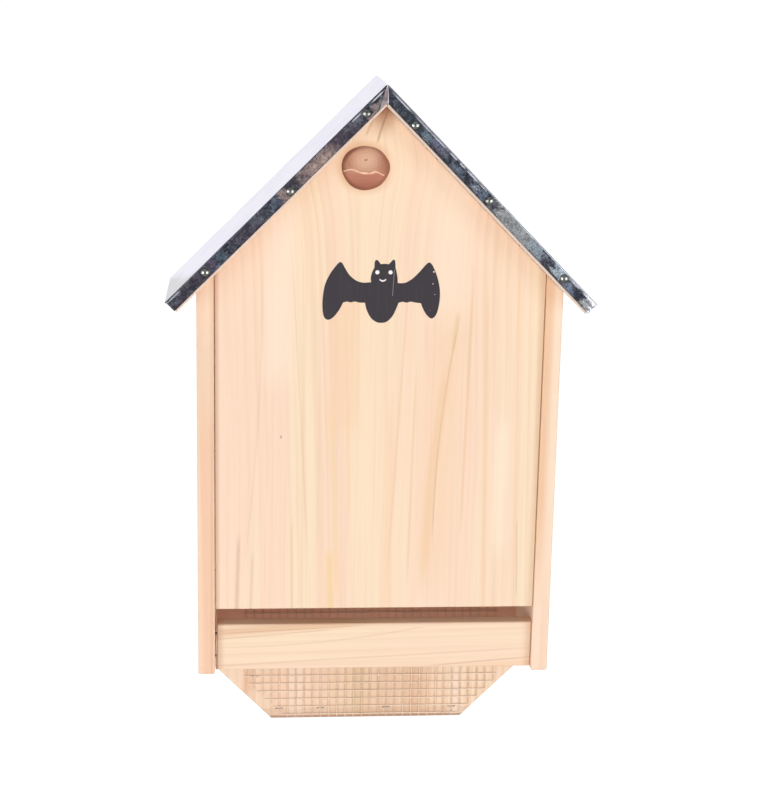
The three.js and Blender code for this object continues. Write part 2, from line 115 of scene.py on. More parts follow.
def sum_method(operation: str, swapped: bool = False) -> Callable[..., "Sock"]:
    """Makes a method of Sock that adds one Math node.

    Args:
        operation: The Math node's operation.
        swapped: Whether the other value comes before the socket.

    Returns:
        The method, which takes the other values.
    """
    def add_node(self: "Sock", *others: "Value") -> "Sock":
        """Adds the node and returns its result."""
        values = (*others, self) if swapped else (self, *others)
        return self.shop.node("ShaderNodeMath", {"operation": operation}, dict(enumerate(values)))

    return add_node


class Sock:
    """An output of a node. A sum written with it adds the Math nodes that work it out."""

    __slots__ = ("shop", "socket")

    def __init__(self, shop: "NodeShop", socket: NodeSocket) -> None:
        """Keeps the socket and the shop that its nodes come from."""
        self.shop = shop
        self.socket = socket

    __add__ = sum_method("ADD")
    __radd__ = sum_method("ADD", swapped=True)
    __sub__ = sum_method("SUBTRACT")
    __rsub__ = sum_method("SUBTRACT", swapped=True)
    __mul__ = sum_method("MULTIPLY")
    __rmul__ = sum_method("MULTIPLY", swapped=True)
    __truediv__ = sum_method("DIVIDE")
    __rtruediv__ = sum_method("DIVIDE", swapped=True)
    __abs__ = sum_method("ABSOLUTE")
    root = sum_method("SQRT")
    fraction = sum_method("FRACT")
    most = sum_method("MAXIMUM")

    def smooth(self, low: float, high: float) -> "Sock":
        """Share from 0 at low to 1 at high, or the other way round where low is the larger.

        Args:
            low: The value that gives 0.
            high: The value that gives 1.

        Returns:
            The eased share.
        """
        start, end, first, last = (low, high, 0.0, 1.0) if low < high else (high, low, 1.0, 0.0)
        inputs = {"Value": self, "From Min": start, "From Max": end, "To Min": first, "To Max": last}
        return self.shop.node("ShaderNodeMapRange", {"interpolation_type": "SMOOTHSTEP"}, inputs)


Value = Sock | float | int | tuple | Object | Material


@dataclass
class NodeShop:
    """Adds nodes to one tree and joins them.

    Attributes:
        tree: The node tree of a material, the world or a modifier.
    """

    tree: NodeTree

    def plug(self, socket: NodeSocket, value: Value) -> None:
        """Links a node's output to a socket, or sets the socket's own value."""
        if isinstance(value, Sock):
            self.tree.links.new(value.socket, socket)
        else:
            socket.default_value = value

    def node(
        self,
        kind: str,
        settings: dict[str, object] | None = None,
        inputs: dict[str | int, Value] | None = None,
        output: str | int = 0,
    ) -> Sock:
        """Adds a node of any type.

        Args:
            kind: The node's type.
            settings: What is set on the node first, such as an operation.
            inputs: Values or links of its sockets, by name or number.
            output: The output that is wanted.

        Returns:
            That output.
        """
        made = self.tree.nodes.new(kind)
        for name, value in (settings or {}).items():
            setattr(made, name, value)
        for name, value in (inputs or {}).items():
            self.plug(made.inputs[name], value)
        return Sock(self, made.outputs[output] if made.outputs else None)

    def blend(self, share: Value, first: Sock | Colour, second: Sock | Colour, way: str = "MIX") -> Sock:
        """Mixes two colours, each a node's output or a display colour.

        Args:
            share: How much of the second colour shows.
            first: The colour at a share of 0.
            second: The colour at a share of 1.
            way: The mix node's blend type.

        Returns:
            The mixed colour.
        """
        first, second = (linear(part) if isinstance(part, tuple) else part for part in (first, second))
        settings = {"data_type": "RGBA", "blend_type": way}
        return self.node("ShaderNodeMix", settings, {0: share, 6: first, 7: second}, 2)

    def shaded(self, colour: Sock, level: Sock) -> Sock:
        """A colour made lighter or darker by a level."""
        return self.blend(1.0, colour, self.join(level, level, level), "MULTIPLY")

    def place(self) -> Sock:
        """Object coordinates, in metres."""
        return self.node("ShaderNodeTexCoord", output="Object")

    def split(self, vector: Sock) -> tuple[Sock, Sock, Sock]:
        """The three parts of a vector."""
        first = self.node("ShaderNodeSeparateXYZ", inputs={0: vector})
        outputs = first.socket.node.outputs
        return first, Sock(self, outputs[1]), Sock(self, outputs[2])

    def join(self, x: Value, y: Value, z: Value) -> Sock:
        """A vector of three parts."""
        return self.node("ShaderNodeCombineXYZ", inputs={0: x, 1: y, 2: z})

    def stretched(self, vector: Sock, scale: Point3) -> Sock:
        """The vector with each part multiplied."""
        return self.node("ShaderNodeMapping", inputs={"Vector": vector, "Scale": scale})

    def grain(self, vector: Sock, scale: Point3 | float, detail: float = 2.0, rough: float = 0.5) -> Sock:
        """Soft noise, stretched.

        Args:
            vector: Where it is read, in metres.
            scale: Waves per metre along each direction, or one number for all three.
            detail: How many finer layers it has.
            rough: How strong the finer layers are.

        Returns:
            Values round 0.5.
        """
        wide = scale if isinstance(scale, tuple) else (scale, scale, scale)
        place = self.stretched(vector, wide)
        inputs = {"Vector": place, "Scale": 1.0, "Detail": detail, "Roughness": rough}
        return self.node("ShaderNodeTexNoise", inputs=inputs)


def empty_tree(owner: Material | World) -> NodeShop:
    """Empties the node tree of a material or of the world."""
    owner.use_nodes = True
    owner.node_tree.nodes.clear()
    return NodeShop(owner.node_tree)


class Finish(ABC):
    """A finish that can make its own material."""

    name: str

    def material(self) -> Material:
        """Makes the material with its nodes."""
        made = bpy.data.materials.new(self.name)
        shop = empty_tree(made)
        shop.node("ShaderNodeOutputMaterial", inputs={"Surface": self.surface(shop)})
        return made

    @abstractmethod
    def surface(self, shop: NodeShop) -> Sock:
        """Adds the nodes of the surface and returns its shader."""

    @staticmethod
    def shader(
        shop: NodeShop,
        colour: Sock,
        roughness: Sock,
        height: Sock,
        depth: float,
        specular: float = 0.5,
        metallic: float = 0.0,
    ) -> Sock:
        """The shader of a surface with a fine relief.

        Args:
            shop: Where the nodes go.
            colour: Its colour.
            roughness: Its roughness.
            height: Height of the relief, from 0 to 1.
            depth: What a height of 1 stands for, in millimetres.
            specular: Level of its gloss.
            metallic: How bare the metal is.

        Returns:
            The shader.
        """
        relief = {"Strength": 1.0, "Distance": depth * MM, "Height": height}
        return shop.node("ShaderNodeBsdfPrincipled", inputs={
            "Base Color": colour,
            "Metallic": metallic,
            "Roughness": roughness,
            "Specular IOR Level": specular,
            "Normal": shop.node("ShaderNodeBump", inputs=relief),
        })


# Finishes


class GrainDirection(Enum):
    """Which way a board's fibres run, as the turn about Y that stands them upright."""

    UPRIGHT = 0.0
    LEVEL = -90.0
    DOWN_LEFT = -45.0
    DOWN_RIGHT = 45.0

    @property
    def turn(self) -> Point3:
        """The turn as Euler angles."""
        return (0.0, math.radians(self.value), 0.0)

    @property
    def axis(self) -> Point3:
        """The direction of the fibres in the part's frame."""
        angle = math.radians(self.value)
        return (-math.sin(angle), 0.0, math.cos(angle))


@dataclass(frozen=True)
class Streak:
    """One long mark along the fibres of a board.

    Attributes:
        across: Its place across the board at the middle of its length.
        along: The middle of its length.
        half_length: Half of its length.
        half_width: Half of its width.
        tint: Its colour.
        strength: How much of that colour shows.
        lean: How far it moves across for each millimetre along.
        curve: How far it bends for each square millimetre along.
    """

    across: float
    along: float
    half_length: float
    half_width: float
    tint: Colour
    strength: float
    lean: float = 0.0
    curve: float = 0.0

    def mask(self, across: Sock, along: Sock) -> Sock:
        """How much of the streak shows.

        Args:
            across: Millimetres across the board.
            along: Millimetres along the board.

        Returns:
            The share of its colour.
        """
        reach = along - self.along
        centre = reach * self.lean + self.across
        if self.curve:
            centre = centre + reach * reach * self.curve
        side = abs(across - centre).smooth(self.half_width, self.half_width * 0.15)
        end = abs(reach).smooth(self.half_length, self.half_length * 0.6)
        return side * end * self.strength


def streak_rows(*rows: tuple) -> tuple[Streak, ...]:
    """Makes streaks from rows of their fields."""
    return tuple(Streak(*row) for row in rows)


def lay_streaks(shop: NodeShop, colour: Sock, streaks: Sequence[Streak], across: Sock, along: Sock) -> Sock:
    """Lays streaks over a colour.

    Args:
        shop: Where the nodes go.
        colour: The colour.
        streaks: The streaks, from the lowest up.
        across: Millimetres across the board.
        along: Millimetres along the board.

    Returns:
        The colour with its streaks.
    """
    for streak in streaks:
        colour = shop.blend(streak.mask(across, along), colour, streak.tint)
    return colour


@dataclass(frozen=True)
class WoodFinish(Finish):
    """Planed softwood without a coat, with rings round a pith outside the board.

    Attributes:
        name: The material's name.
        grain: Which way the fibres run.
        pith: Where the tree's centre lies across and behind the board.
        ring_pitch: Mean width of a ring.
        ring_strength: How much the late wood shows.
        lean: How far the rings run off the board's own direction, per millimetre.
        seed: Shift of the pattern in millimetres, so that no two boards are alike.
        cream: Yellowish early wood.
        blush: Pinkish early wood.
        late: Colour of the late wood.
        end: Colour of the sawn ends.
        streaks: Marks at their own places.
    """

    name: str
    grain: GrainDirection = GrainDirection.UPRIGHT
    pith: Point2 = (260.0, 60.0)
    ring_pitch: float = 5.2
    ring_strength: float = 0.45
    lean: float = 0.015
    seed: Point3 = (0.0, 0.0, 0.0)
    cream: Colour = (250, 225, 195)
    blush: Colour = (250, 219, 194)
    late: Colour = (228, 188, 150)
    end: Colour = (226, 184, 148)
    streaks: tuple[Streak, ...] = ()

    def warp(self, shop: NodeShop, across: Sock, along: Sock) -> Sock:
        """Place across the board after the fibres' own bends; plain boards have none."""
        return across

    def marks(self, shop: NodeShop, colour: Sock, across: Sock, along: Sock, depth: Sock) -> Sock:
        """Lays the streaks over the wood.

        Args:
            shop: Where the nodes go.
            colour: Colour of the wood.
            across: Millimetres across the board.
            along: Millimetres along the board.
            depth: Millimetres from the wall, negative to the front.

        Returns:
            The colour with its streaks.
        """
        return lay_streaks(shop, colour, self.streaks, across, along)

    def surface(self, shop: NodeShop) -> Sock:
        """Adds the wood's nodes."""
        place = shop.place()
        turned = shop.node("ShaderNodeMapping", inputs={"Vector": place, "Rotation": self.grain.turn})
        across, depth, along = shop.split(turned)
        flowing = self.warp(shop, across, along)
        shift = tuple(part * MM for part in self.seed)
        wood = shop.join(flowing + shift[0], depth + shift[1], along + shift[2])

        sway = shop.grain(wood, (7.0, 7.0, 2.2), 1.0) - 0.5
        off_pith = flowing + along * self.lean + sway * 0.02 - self.pith[0] * MM
        behind = depth - self.pith[1] * MM
        reach = (off_pith * off_pith + behind * behind).root()
        uneven = shop.grain(shop.join(reach, 0.0, 0.0), (70.0, 1.0, 1.0), 1.0)
        count = reach / (self.ring_pitch * MM) + uneven * 2.4
        ring = count.fraction()
        late = ring.smooth(0.25, 0.88) * ring.smooth(1.0, 0.9)
        shown = shop.grain(wood, (16.0, 16.0, 1.6), 2.0).smooth(0.36, 0.66)

        hue = shop.grain(wood, (38.0, 30.0, 1.5), 3.0, 0.6).smooth(0.36, 0.62)
        lines = shop.grain(wood, (330.0, 330.0, 3.0), 2.0, 0.6).smooth(0.5, 0.74)
        fibre = shop.grain(wood, (1500.0, 1500.0, 26.0), 3.0, 0.6)

        colour = shop.blend(hue, self.cream, self.blush)
        colour = shop.blend(late * shown * self.ring_strength, colour, self.late)
        colour = shop.blend(lines * 0.2, colour, self.late)
        colour = self.marks(shop, colour, across * TO_MM, along * TO_MM, depth * TO_MM)
        facing = shop.node("ShaderNodeNewGeometry", output="Normal")
        settings = {"operation": "DOT_PRODUCT"}
        inputs = {0: facing, 1: self.grain.axis}
        along_face = shop.node("ShaderNodeVectorMath", settings, inputs, "Value")
        sawn = abs(along_face).smooth(0.6, 0.95)
        colour = shop.blend(sawn * (0.35 + late * 0.4), colour, self.end)
        colour = shop.shaded(colour, fibre * 0.1 + 0.95)
        height = fibre * 0.6 + late * 0.3 + lines * 0.2
        return self.shader(shop, colour, fibre * 0.2 + 0.6, height, 0.05, specular=0.12)


@dataclass(frozen=True)
class PanelFinish(WoodFinish):
    """The front panel's wood, whose fibres run round a knot, with a brown patch at the apex that is partly
    a stain and partly painted shade.

    Attributes:
        knot: Centre of the knot, across and along.
        knot_radius: Its mean radius.
        rim: Colour of the wood round it.
        stain_and_shade: Colour of the apex patch, partly stain and partly painted shade under the roof.
        stain_lines: The darker lines in that patch.
    """

    knot: Point2 = KNOT_CENTRE
    knot_radius: float = 15.5
    rim: Colour = (224, 172, 128)
    stain_and_shade: Colour = (174, 110, 74)
    stain_lines: tuple[Streak, ...] = (
        Streak(-1.5, 44, 13, 1.3, (166, 122, 88), 0.5, 0.32, 0.004),
        Streak(-8.9, 46, 10, 1.5, (186, 140, 104), 0.35, 0.42),
    )

    def from_knot(self, across: Sock, along: Sock) -> tuple[Sock, Sock]:
        """Distance across and along from the knot's centre, in metres."""
        return across - self.knot[0] * MM, along - self.knot[1] * MM

    def warp(self, shop: NodeShop, across: Sock, along: Sock) -> Sock:
        """Spreads the fibres to both sides of the knot."""
        side, rise = self.from_knot(across, along)
        reach = rise / (self.knot_radius * 1.5 * MM)
        bulge = 1.0 / (reach * reach + 1.0)
        wide = abs(side)
        return side * wide / (wide + bulge * self.knot_radius * 0.8 * MM + 0.1 * MM) + self.knot[0] * MM

    def marks(self, shop: NodeShop, colour: Sock, across: Sock, along: Sock, depth: Sock) -> Sock:
        """Adds the rim of colour round the knot and the brown patch under the ridge, partly stain and
        partly painted shade.
        """
        colour = super().marks(shop, colour, across, along, depth)
        side, rise = across - self.knot[0], along - self.knot[1]
        ring = (side * side + rise * rise * 1.15).root() / self.knot_radius
        place = shop.join(across * MM, 0.0, along * MM)
        cloud = shop.grain(place, 60.0, 3.0)
        rim = (ring + cloud * 0.3).smooth(1.62, 1.08)
        upper_left = (rise - side).smooth(-14.0, 22.0)
        colour = shop.blend(rim * (0.5 + upper_left * 0.25), colour, self.rim)
        # A brown patch under the apex: partly a real stain, partly painted shade under the roof.
        down = along.smooth(34.0, 58.0)
        narrow = abs(across + (57.0 - along) * 0.12 - 0.6)
        stain_and_shade = narrow.smooth(13.0, 1.0) * down * (cloud + 0.35)
        colour = shop.blend(stain_and_shade * 0.95, colour, self.stain_and_shade)
        return lay_streaks(shop, colour, self.stain_lines, across, along)


@dataclass(frozen=True)
class BackFinish(WoodFinish):
    """The back board's wood, browner where the box closes over it, with lines along the wires.

    Attributes:
        inside: Colour of the painted shade inside the box.
        half_width: Half of its width.
        low: Height of its lower end.
        face: Y of the board's front face.
        wire_shadow: Colour of the painted shadow line along each upright wire.
        wires: X of the first and the last upright wire, and their pitch.
        net_top: Height of the net's upper edge.
    """

    inside: Colour = (217, 158, 132)
    half_width: float = 115.0
    low: float = BOX_LOW
    face: float = -12.0
    wire_shadow: Colour = (204, 170, 146)
    wires: Point3 = (NET_LEFT, NET_LEFT + NET_PITCH * NET_LAST, NET_PITCH)
    net_top: float = -220.0

    def marks(self, shop: NodeShop, colour: Sock, across: Sock, along: Sock, depth: Sock) -> Sock:
        """Adds the painted shade inside the box and the upright wires' painted shadow lines to the streaks,
        on the front face only.
        """
        marked = super().marks(shop, colour, across, along, depth)
        # Painted contact shadow along each upright wire.
        first, last, pitch = self.wires
        off_wire = abs(((across - first) / pitch + 0.5).fraction() - 0.5) * pitch
        line = off_wire.smooth(1.7, 0.7) * along.smooth(self.net_top + 1.0, self.net_top)
        half_net = (last - first) / 2
        line = line * abs(across - (first + last) / 2).smooth(half_net + 2.4, half_net + 1.2)
        marked = shop.blend(line * 0.24, marked, self.wire_shadow)
        colour = shop.blend(depth.smooth(self.face + 2.0, self.face + 1.0), colour, marked)
        # Painted shade on the back board inside the box.
        share = abs(across).smooth(self.half_width + 0.5, self.half_width - 1.5)
        share = share * along.smooth(self.low - 10.0, self.low + 6.0)
        share = share * depth.smooth(self.face + 0.6, self.face + 0.1)
        return shop.blend(share * 0.85, colour, self.inside)


@dataclass(frozen=True)
class KnotFinish(Finish):
    """A dark reddish knot with rings round its own pith, and painted shading of its dome: a lighter centre
    and a darker left side.

    Attributes:
        name: The material's name.
        centre: Centre of the knot, across and along.
        pith: Its pith.
        radius: Its mean radius.
        crack: Height at which the redder lower part starts.
        core: The upper part round the pith, lighter in part as a painted highlight of the dome.
        outer: The upper part away from the pith.
        left: The left end of the upper part, in painted shade.
        right: The right end of the upper part.
        red: The lower part.
        deep_red: The lower end of the knot.
        ring: The rings.
        rim: The knot's dark edge, with painted shade that grows to the left.
        dot: The pith itself.
    """

    name: str = "knot_wood"
    centre: Point2 = KNOT_CENTRE
    pith: Point2 = (-12.5, 20.9)
    radius: float = 15.5
    crack: float = 12.6
    core: Colour = (222, 178, 152)
    outer: Colour = (192, 144, 118)
    left: Colour = (158, 112, 84)
    right: Colour = (160, 98, 76)
    red: Colour = (186, 122, 100)
    deep_red: Colour = (162, 100, 80)
    ring: Colour = (156, 98, 76)
    rim: Colour = (126, 72, 52)
    dot: Colour = (128, 76, 58)

    def surface(self, shop: NodeShop) -> Sock:
        """Adds the knot's nodes."""
        place = shop.place()
        across, _, along = shop.split(place)
        x, z = across * TO_MM, along * TO_MM
        cloud = shop.grain(place, 150.0, 3.0) - 0.5
        fine = shop.grain(place, 900.0, 3.0, 0.6)
        side = x - self.pith[0] + cloud * 3.0
        rise = z - self.pith[1] + cloud * 2.0
        reach = (side * side + rise * rise * 1.35).root()
        ring = (reach * 0.42 + cloud * 3.2).fraction()
        late = ring.smooth(0.3, 0.9) * ring.smooth(1.0, 0.92)
        off_x, off_z = x - self.centre[0], z - self.centre[1]
        edge = (off_x * off_x + off_z * off_z * 1.15).root() / self.radius + cloud * 0.08
        low = (z + cloud * 3.0).smooth(self.crack + 1.0, self.crack - 1.5)

        # Painted shading of the knot's dome: lighter round the pith and darker at the left end.
        upper = shop.blend(reach.smooth(1.0, 13.0), self.core, self.outer)
        upper = shop.blend(off_x.smooth(-7.0, -15.0) * 0.65, upper, self.left)
        upper = shop.blend(off_x.smooth(6.0, 14.5) * 0.75, upper, self.right)
        lower = shop.blend(off_z.smooth(-4.0, -14.0), self.red, self.deep_red)
        colour = shop.blend(low, upper, lower)
        colour = shop.blend(late * 0.15, colour, self.ring)
        # A real dark edge with painted shade that grows to the left.
        rim = edge.smooth(0.82, 1.0) * (off_x.smooth(6.0, -10.0) * 0.4 + 0.5)
        colour = shop.blend(rim, colour, self.rim)
        colour = shop.blend(reach.smooth(0.95, 0.35) * 0.8, colour, self.dot)
        colour = shop.shaded(colour, fine * 0.24 + 0.88)
        height = fine * 0.6 + late * 0.4
        return self.shader(shop, colour, fine * 0.2 + 0.42, height, 0.06, specular=0.15)


@dataclass(frozen=True)
class ResinFinish(Finish):
    """The pale, hard line in the knot's crack.

    Attributes:
        name: The material's name.
        pale: Its main colour.
        amber: Its darker patches.
    """

    name: str = "knot_resin"
    pale: Colour = (246, 208, 178)
    amber: Colour = (226, 172, 138)

    def surface(self, shop: NodeShop) -> Sock:
        """Adds the nodes of the pale line."""
        cloud = shop.grain(shop.place(), 420.0, 3.0, 0.6)
        colour = shop.blend(cloud.smooth(0.4, 0.62), self.pale, self.amber)
        return self.shader(shop, colour, cloud * 0.2 + 0.3, cloud, 0.08)


@dataclass(frozen=True)
class PaintedReflection:
    """A patch of painted reflection, in its own colour, on the folded strips of the zinc.

    Attributes:
        along: Its middle, in millimetres down the slope; the left slope counts below zero.
        half_length: Half of its length.
        tint: Its colour.
        strength: How much of that colour shows.
        top: How far below the fold it starts.
        bottom: How far below the fold it ends.
        soft: Width of its upper and lower edge.
    """

    along: float
    half_length: float
    tint: Colour
    strength: float = 0.8
    top: float = 0.4
    bottom: float = 9.2
    soft: float = 1.2

    def mask(self, down: Sock, out: Sock) -> Sock:
        """How much of the patch shows.

        Args:
            down: Signed millimetres down the slope.
            out: Millimetres below the fold.

        Returns:
            The share of its colour.
        """
        ends = abs(down - self.along).smooth(self.half_length * 1.35, self.half_length * 0.4)
        upper = out.smooth(self.top - self.soft / 2, self.top + self.soft / 2)
        lower = out.smooth(self.bottom + self.soft / 2, self.bottom - self.soft / 2)
        return ends * upper * lower * self.strength


@dataclass(frozen=True)
class SheetSpot:
    """A point of the zinc as its finish reads it.

    Attributes:
        place: Object coordinates.
        down: Signed millimetres from the ridge down the slope.
        out: Millimetres below the nearest fold, negative on the slopes.
    """

    place: Sock
    down: Sock
    out: Sock


@dataclass(frozen=True)
class ZincFinish(Finish):
    """Bright zinc that stays pale on the slopes; the folded strips carry a painted dark reflection with
    painted patches of lighter reflection and painted highlights.

    The sheet's own map holds metres: the signed way from the ridge down the slope, and the
    way from the nearest fold, which is negative on the slopes and positive on the strips.

    Attributes:
        name: The material's name.
        pale: The slopes.
        pale_cloud: Clouds on the slopes.
        pale_line: Lines that run down the slopes.
        eave_reflection: Painted grey reflection on the left slope next to its eave.
        fold_highlight: Painted highlight on the slopes next to the folds.
        pale_rear: The slopes' rear edge.
        dark: The strips' painted dark reflection.
        grey: Lighter patches of painted reflection on the strips.
        green: Greenish clouds in the strips' painted reflection.
        violet: Violet clouds in the strips' painted reflection.
        low_edge_reflection: Painted brown reflection along the strips' lower edge.
        left_rim_highlight: Painted light line on the left fold's edge.
        right_rim_highlight: Painted light line on the right fold's edge.
        glint: The broken line of light below the folds.
        lap: The lap at the ridge, in painted reflection.
        lap_dark: Its darker clouds.
        lap_end: Its lower end, in lighter painted reflection.
        lap_rim_highlight: Painted highlight on its edge.
    """

    name: str = "folded_zinc"
    pale: Colour = (230, 228, 240)
    pale_cloud: Colour = (218, 216, 233)
    # Painted grey reflection near the left eave and painted highlight next to the folds.
    pale_line: Colour = (198, 197, 210)
    eave_reflection: Colour = (200, 200, 204)
    fold_highlight: Colour = (244, 244, 250)
    pale_rear: Colour = (176, 175, 186)
    # The strips' colours: a painted dark reflection with lighter painted reflections in it.
    dark: Colour = (46, 48, 56)
    grey: Colour = (96, 100, 110)
    green: Colour = (52, 60, 66)
    violet: Colour = (70, 60, 72)
    # Painted brown reflection along the strips' lower edge.
    low_edge_reflection: Colour = (60, 42, 42)
    # Painted light lines on the folds' edges.
    left_rim_highlight: Colour = (70, 70, 80)
    right_rim_highlight: Colour = (116, 118, 126)
    glint: Colour = (206, 206, 214)
    # The lap's painted reflection, with a painted highlight on its edge.
    lap: Colour = (150, 134, 138)
    lap_dark: Colour = (112, 100, 106)
    lap_end: Colour = (166, 162, 160)
    lap_rim_highlight: Colour = (206, 204, 208)

    @staticmethod
    def reflection_patches() -> tuple[PaintedReflection, ...]:
        """The patches of painted reflection on both arms, from the ridge down."""
        slate, blue, frost = (60, 62, 70), (98, 110, 126), (140, 150, 162)
        mauve, tan = (140, 122, 118), (172, 142, 132)
        return (
            PaintedReflection(-15, 5, (150, 132, 130), 0.6, 3.2, 9.2),
            PaintedReflection(-22.5, 3.6, tan, 0.55, 7.4, 9.2),
            PaintedReflection(-34, 7, (104, 106, 116), 0.6, 0.4, 5),
            PaintedReflection(-70, 17, mauve, 0.85),
            PaintedReflection(-66, 9, (166, 146, 134), 0.6, 4.5, 9.2),
            PaintedReflection(-90.3, 2.6, (58, 58, 62), 0.8),
            PaintedReflection(-101, 3.2, mauve, 0.85),
            PaintedReflection(-109, 3.4, (88, 98, 114), 0.7),
            PaintedReflection(-114, 2.4, (52, 56, 64), 0.7),
            PaintedReflection(-125, 9, (86, 88, 100), 0.5, 0.6, 6),
            PaintedReflection(-160, 3, (66, 88, 98), 0.6),
            PaintedReflection(-167.5, 3, (94, 84, 108), 0.6),
            PaintedReflection(5, 4, slate, 0.6),
            PaintedReflection(43.5, 3.8, (112, 128, 138), 0.8, 2.2, 7.4),
            PaintedReflection(52.5, 5, (106, 108, 130), 0.8, 1.8, 5.8),
            PaintedReflection(75, 3, blue, 0.7, 2.6, 7.6),
            PaintedReflection(91, 2.6, frost, 0.7, 2.8, 7.2),
            PaintedReflection(97.5, 2.2, blue, 0.8, 1, 8),
            PaintedReflection(120, 11, (142, 144, 146), 0.85),
            PaintedReflection(139, 12, (138, 142, 144), 0.85),
            PaintedReflection(151, 8, (128, 140, 148), 0.85, 0.8, 8.2),
            PaintedReflection(162, 3.4, slate, 0.8, 0.4, 5.6),
            PaintedReflection(173.5, 6.2, (158, 168, 178), 0.85, 0.4, 7.4),
            PaintedReflection(167.5, 2, (44, 46, 38), 0.9, 6.8, 9.4),
            PaintedReflection(186.5, 3.6, (112, 126, 148), 0.75, 4.6, 8.4),
            PaintedReflection(194.5, 5.5, (48, 52, 64), 0.8, 1.2, 6.4),
            PaintedReflection(196, 2.6, (52, 42, 36), 0.9, 6.6, 9.4),
            PaintedReflection(204.5, 5.6, (142, 144, 148), 0.85),
        )

    def glints(self) -> tuple[PaintedReflection, ...]:
        """The thin broken lines of light just below the folds."""
        places = (
            (-10.5, 5.5, 0.9), (-30, 3.2, 0.75), (-201.5, 6.5, 0.55), (16, 8.5, 0.85),
            (37, 9, 0.6), (52, 7, 0.75), (65.5, 3.4, 0.85), (74, 2.4, 0.85),
            (84, 5, 0.9), (94.5, 2.8, 0.6), (187, 5, 0.7), (200, 5, 0.7),
        )
        return tuple(PaintedReflection(down, half, self.glint, share, 0.95, 1.75, 0.5) for down, half, share in places)

    def strip_colour(self, shop: NodeShop, spot: SheetSpot) -> Sock:
        """The strip's mottled painted dark reflection, with its patches of painted reflection.

        Args:
            shop: Where the nodes go.
            spot: The point of the sheet.

        Returns:
            Its colour.
        """
        place = spot.place
        cloud = shop.grain(place, 190.0, 4.0, 0.7)
        speck = shop.grain(place, 760.0, 2.0)
        hue = shop.grain(shop.stretched(place, (1.0, 3.0, 1.0)), 31.0, 2.0)
        # Painted dark reflection, mottled, and below it the patches of painted reflection.
        colour = shop.blend(cloud.smooth(0.4, 0.68), self.dark, self.grey)
        colour = shop.blend(hue.smooth(0.56, 0.68) * 0.5, colour, self.green)
        colour = shop.blend(hue.smooth(0.52, 0.38) * 0.6, colour, self.violet)
        flake = shop.grain(place, 300.0, 3.0, 0.6)
        ragged_down = spot.down + (flake - 0.5) * 26.0
        ragged_out = spot.out + (flake - 0.5) * 9.0
        for patch in self.reflection_patches():
            share = patch.mask(ragged_down, ragged_out) * (cloud.smooth(0.34, 0.56) * 0.45 + 0.55)
            colour = shop.blend(share, colour, patch.tint)
        colour = shop.shaded(colour, (speck - 0.5) * 1.5 + (flake - 0.5) * 0.9 + 1.0)
        # Painted brown reflection along the lower edge.
        return shop.blend(spot.out.smooth(7.6, 8.7) * 0.5, colour, self.low_edge_reflection)

    def edge_lines(self, shop: NodeShop, colour: Sock, spot: SheetSpot) -> Sock:
        """The painted light line on the fold's rim and the painted broken light line below it.

        Args:
            shop: Where the nodes go.
            colour: Colour of the strip.
            spot: The point of the sheet.

        Returns:
            The colour with both lines.
        """
        ragged = spot.down + (shop.grain(spot.place, 420.0, 2.0) - 0.5) * 7.0
        for glint in self.glints():
            colour = shop.blend(glint.mask(ragged, spot.out), colour, glint.tint)
        # Painted light lines on the folds' rims.
        left = spot.out.smooth(0.75, 0.35) * spot.down.smooth(0.5, -0.5) * 0.6
        right = spot.out.smooth(0.8, 0.5) * spot.down.smooth(-0.5, 0.5) * 0.8
        colour = shop.blend(left, colour, self.left_rim_highlight)
        return shop.blend(right, colour, self.right_rim_highlight)

    def slope_colour(self, shop: NodeShop, spot: SheetSpot) -> Sock:
        """The pale slope with a painted grey reflection at the left one's end and a painted highlight next
        to the folds.

        Args:
            shop: Where the nodes go.
            spot: The point of the sheet.

        Returns:
            Its colour.
        """
        _, depth, _ = shop.split(spot.place)
        y = depth * TO_MM
        cloud = shop.grain(spot.place, (46.0, 24.0, 46.0), 4.0, 0.55)
        line = shop.grain(shop.join(spot.down * MM, depth, 0.0), (24.0, 620.0, 1.0), 2.0)
        # The left slope's end gets a painted grey reflection.
        start = (y + 100.0) * 0.24 + 183.0
        low = (cloud * 14.0 - spot.down - start - 7.0).smooth(-5.0, 7.0)
        colour = shop.blend(cloud.smooth(0.4, 0.66) * 0.5, self.pale, self.pale_cloud)
        colour = shop.blend(low, colour, self.eave_reflection)
        colour = shop.blend(line.smooth(0.5, 0.72) * 0.25, colour, self.pale_line)
        colour = shop.blend(y.smooth(-6.2, -4.4) * 0.8, colour, self.pale_rear)
        # Painted highlight on the slope next to the folds.
        return shop.blend(spot.out.smooth(-3.0, -0.6) * 0.7, colour, self.fold_highlight)

    def lap_colour(self, shop: NodeShop, colour: Sock, spot: SheetSpot) -> Sock:
        """The browner lap at the ridge, in painted reflection with a painted highlight on its edge, over
        the colour of the strip.

        Args:
            shop: Where the nodes go.
            colour: Colour of the sheet.
            spot: The point of the sheet.

        Returns:
            The colour with the lap's.
        """
        share = shop.node("ShaderNodeAttribute", {"attribute_name": "lap"}, output="Fac")
        fan = shop.grain(spot.place, (420.0, 420.0, 90.0), 3.0)
        _, _, height = shop.split(spot.place)
        # The lap's painted reflection, lighter at its lower end, with a painted highlight on its edge.
        lap = shop.blend(fan.smooth(0.4, 0.62), self.lap, self.lap_dark)
        lap = shop.blend((height * TO_MM).smooth(63.4, 61.4) * 0.6, lap, self.lap_end)
        lap = shop.blend(share.smooth(0.86, 0.95), lap, self.lap_rim_highlight)
        return shop.blend(share.smooth(0.02, 0.2), colour, lap)

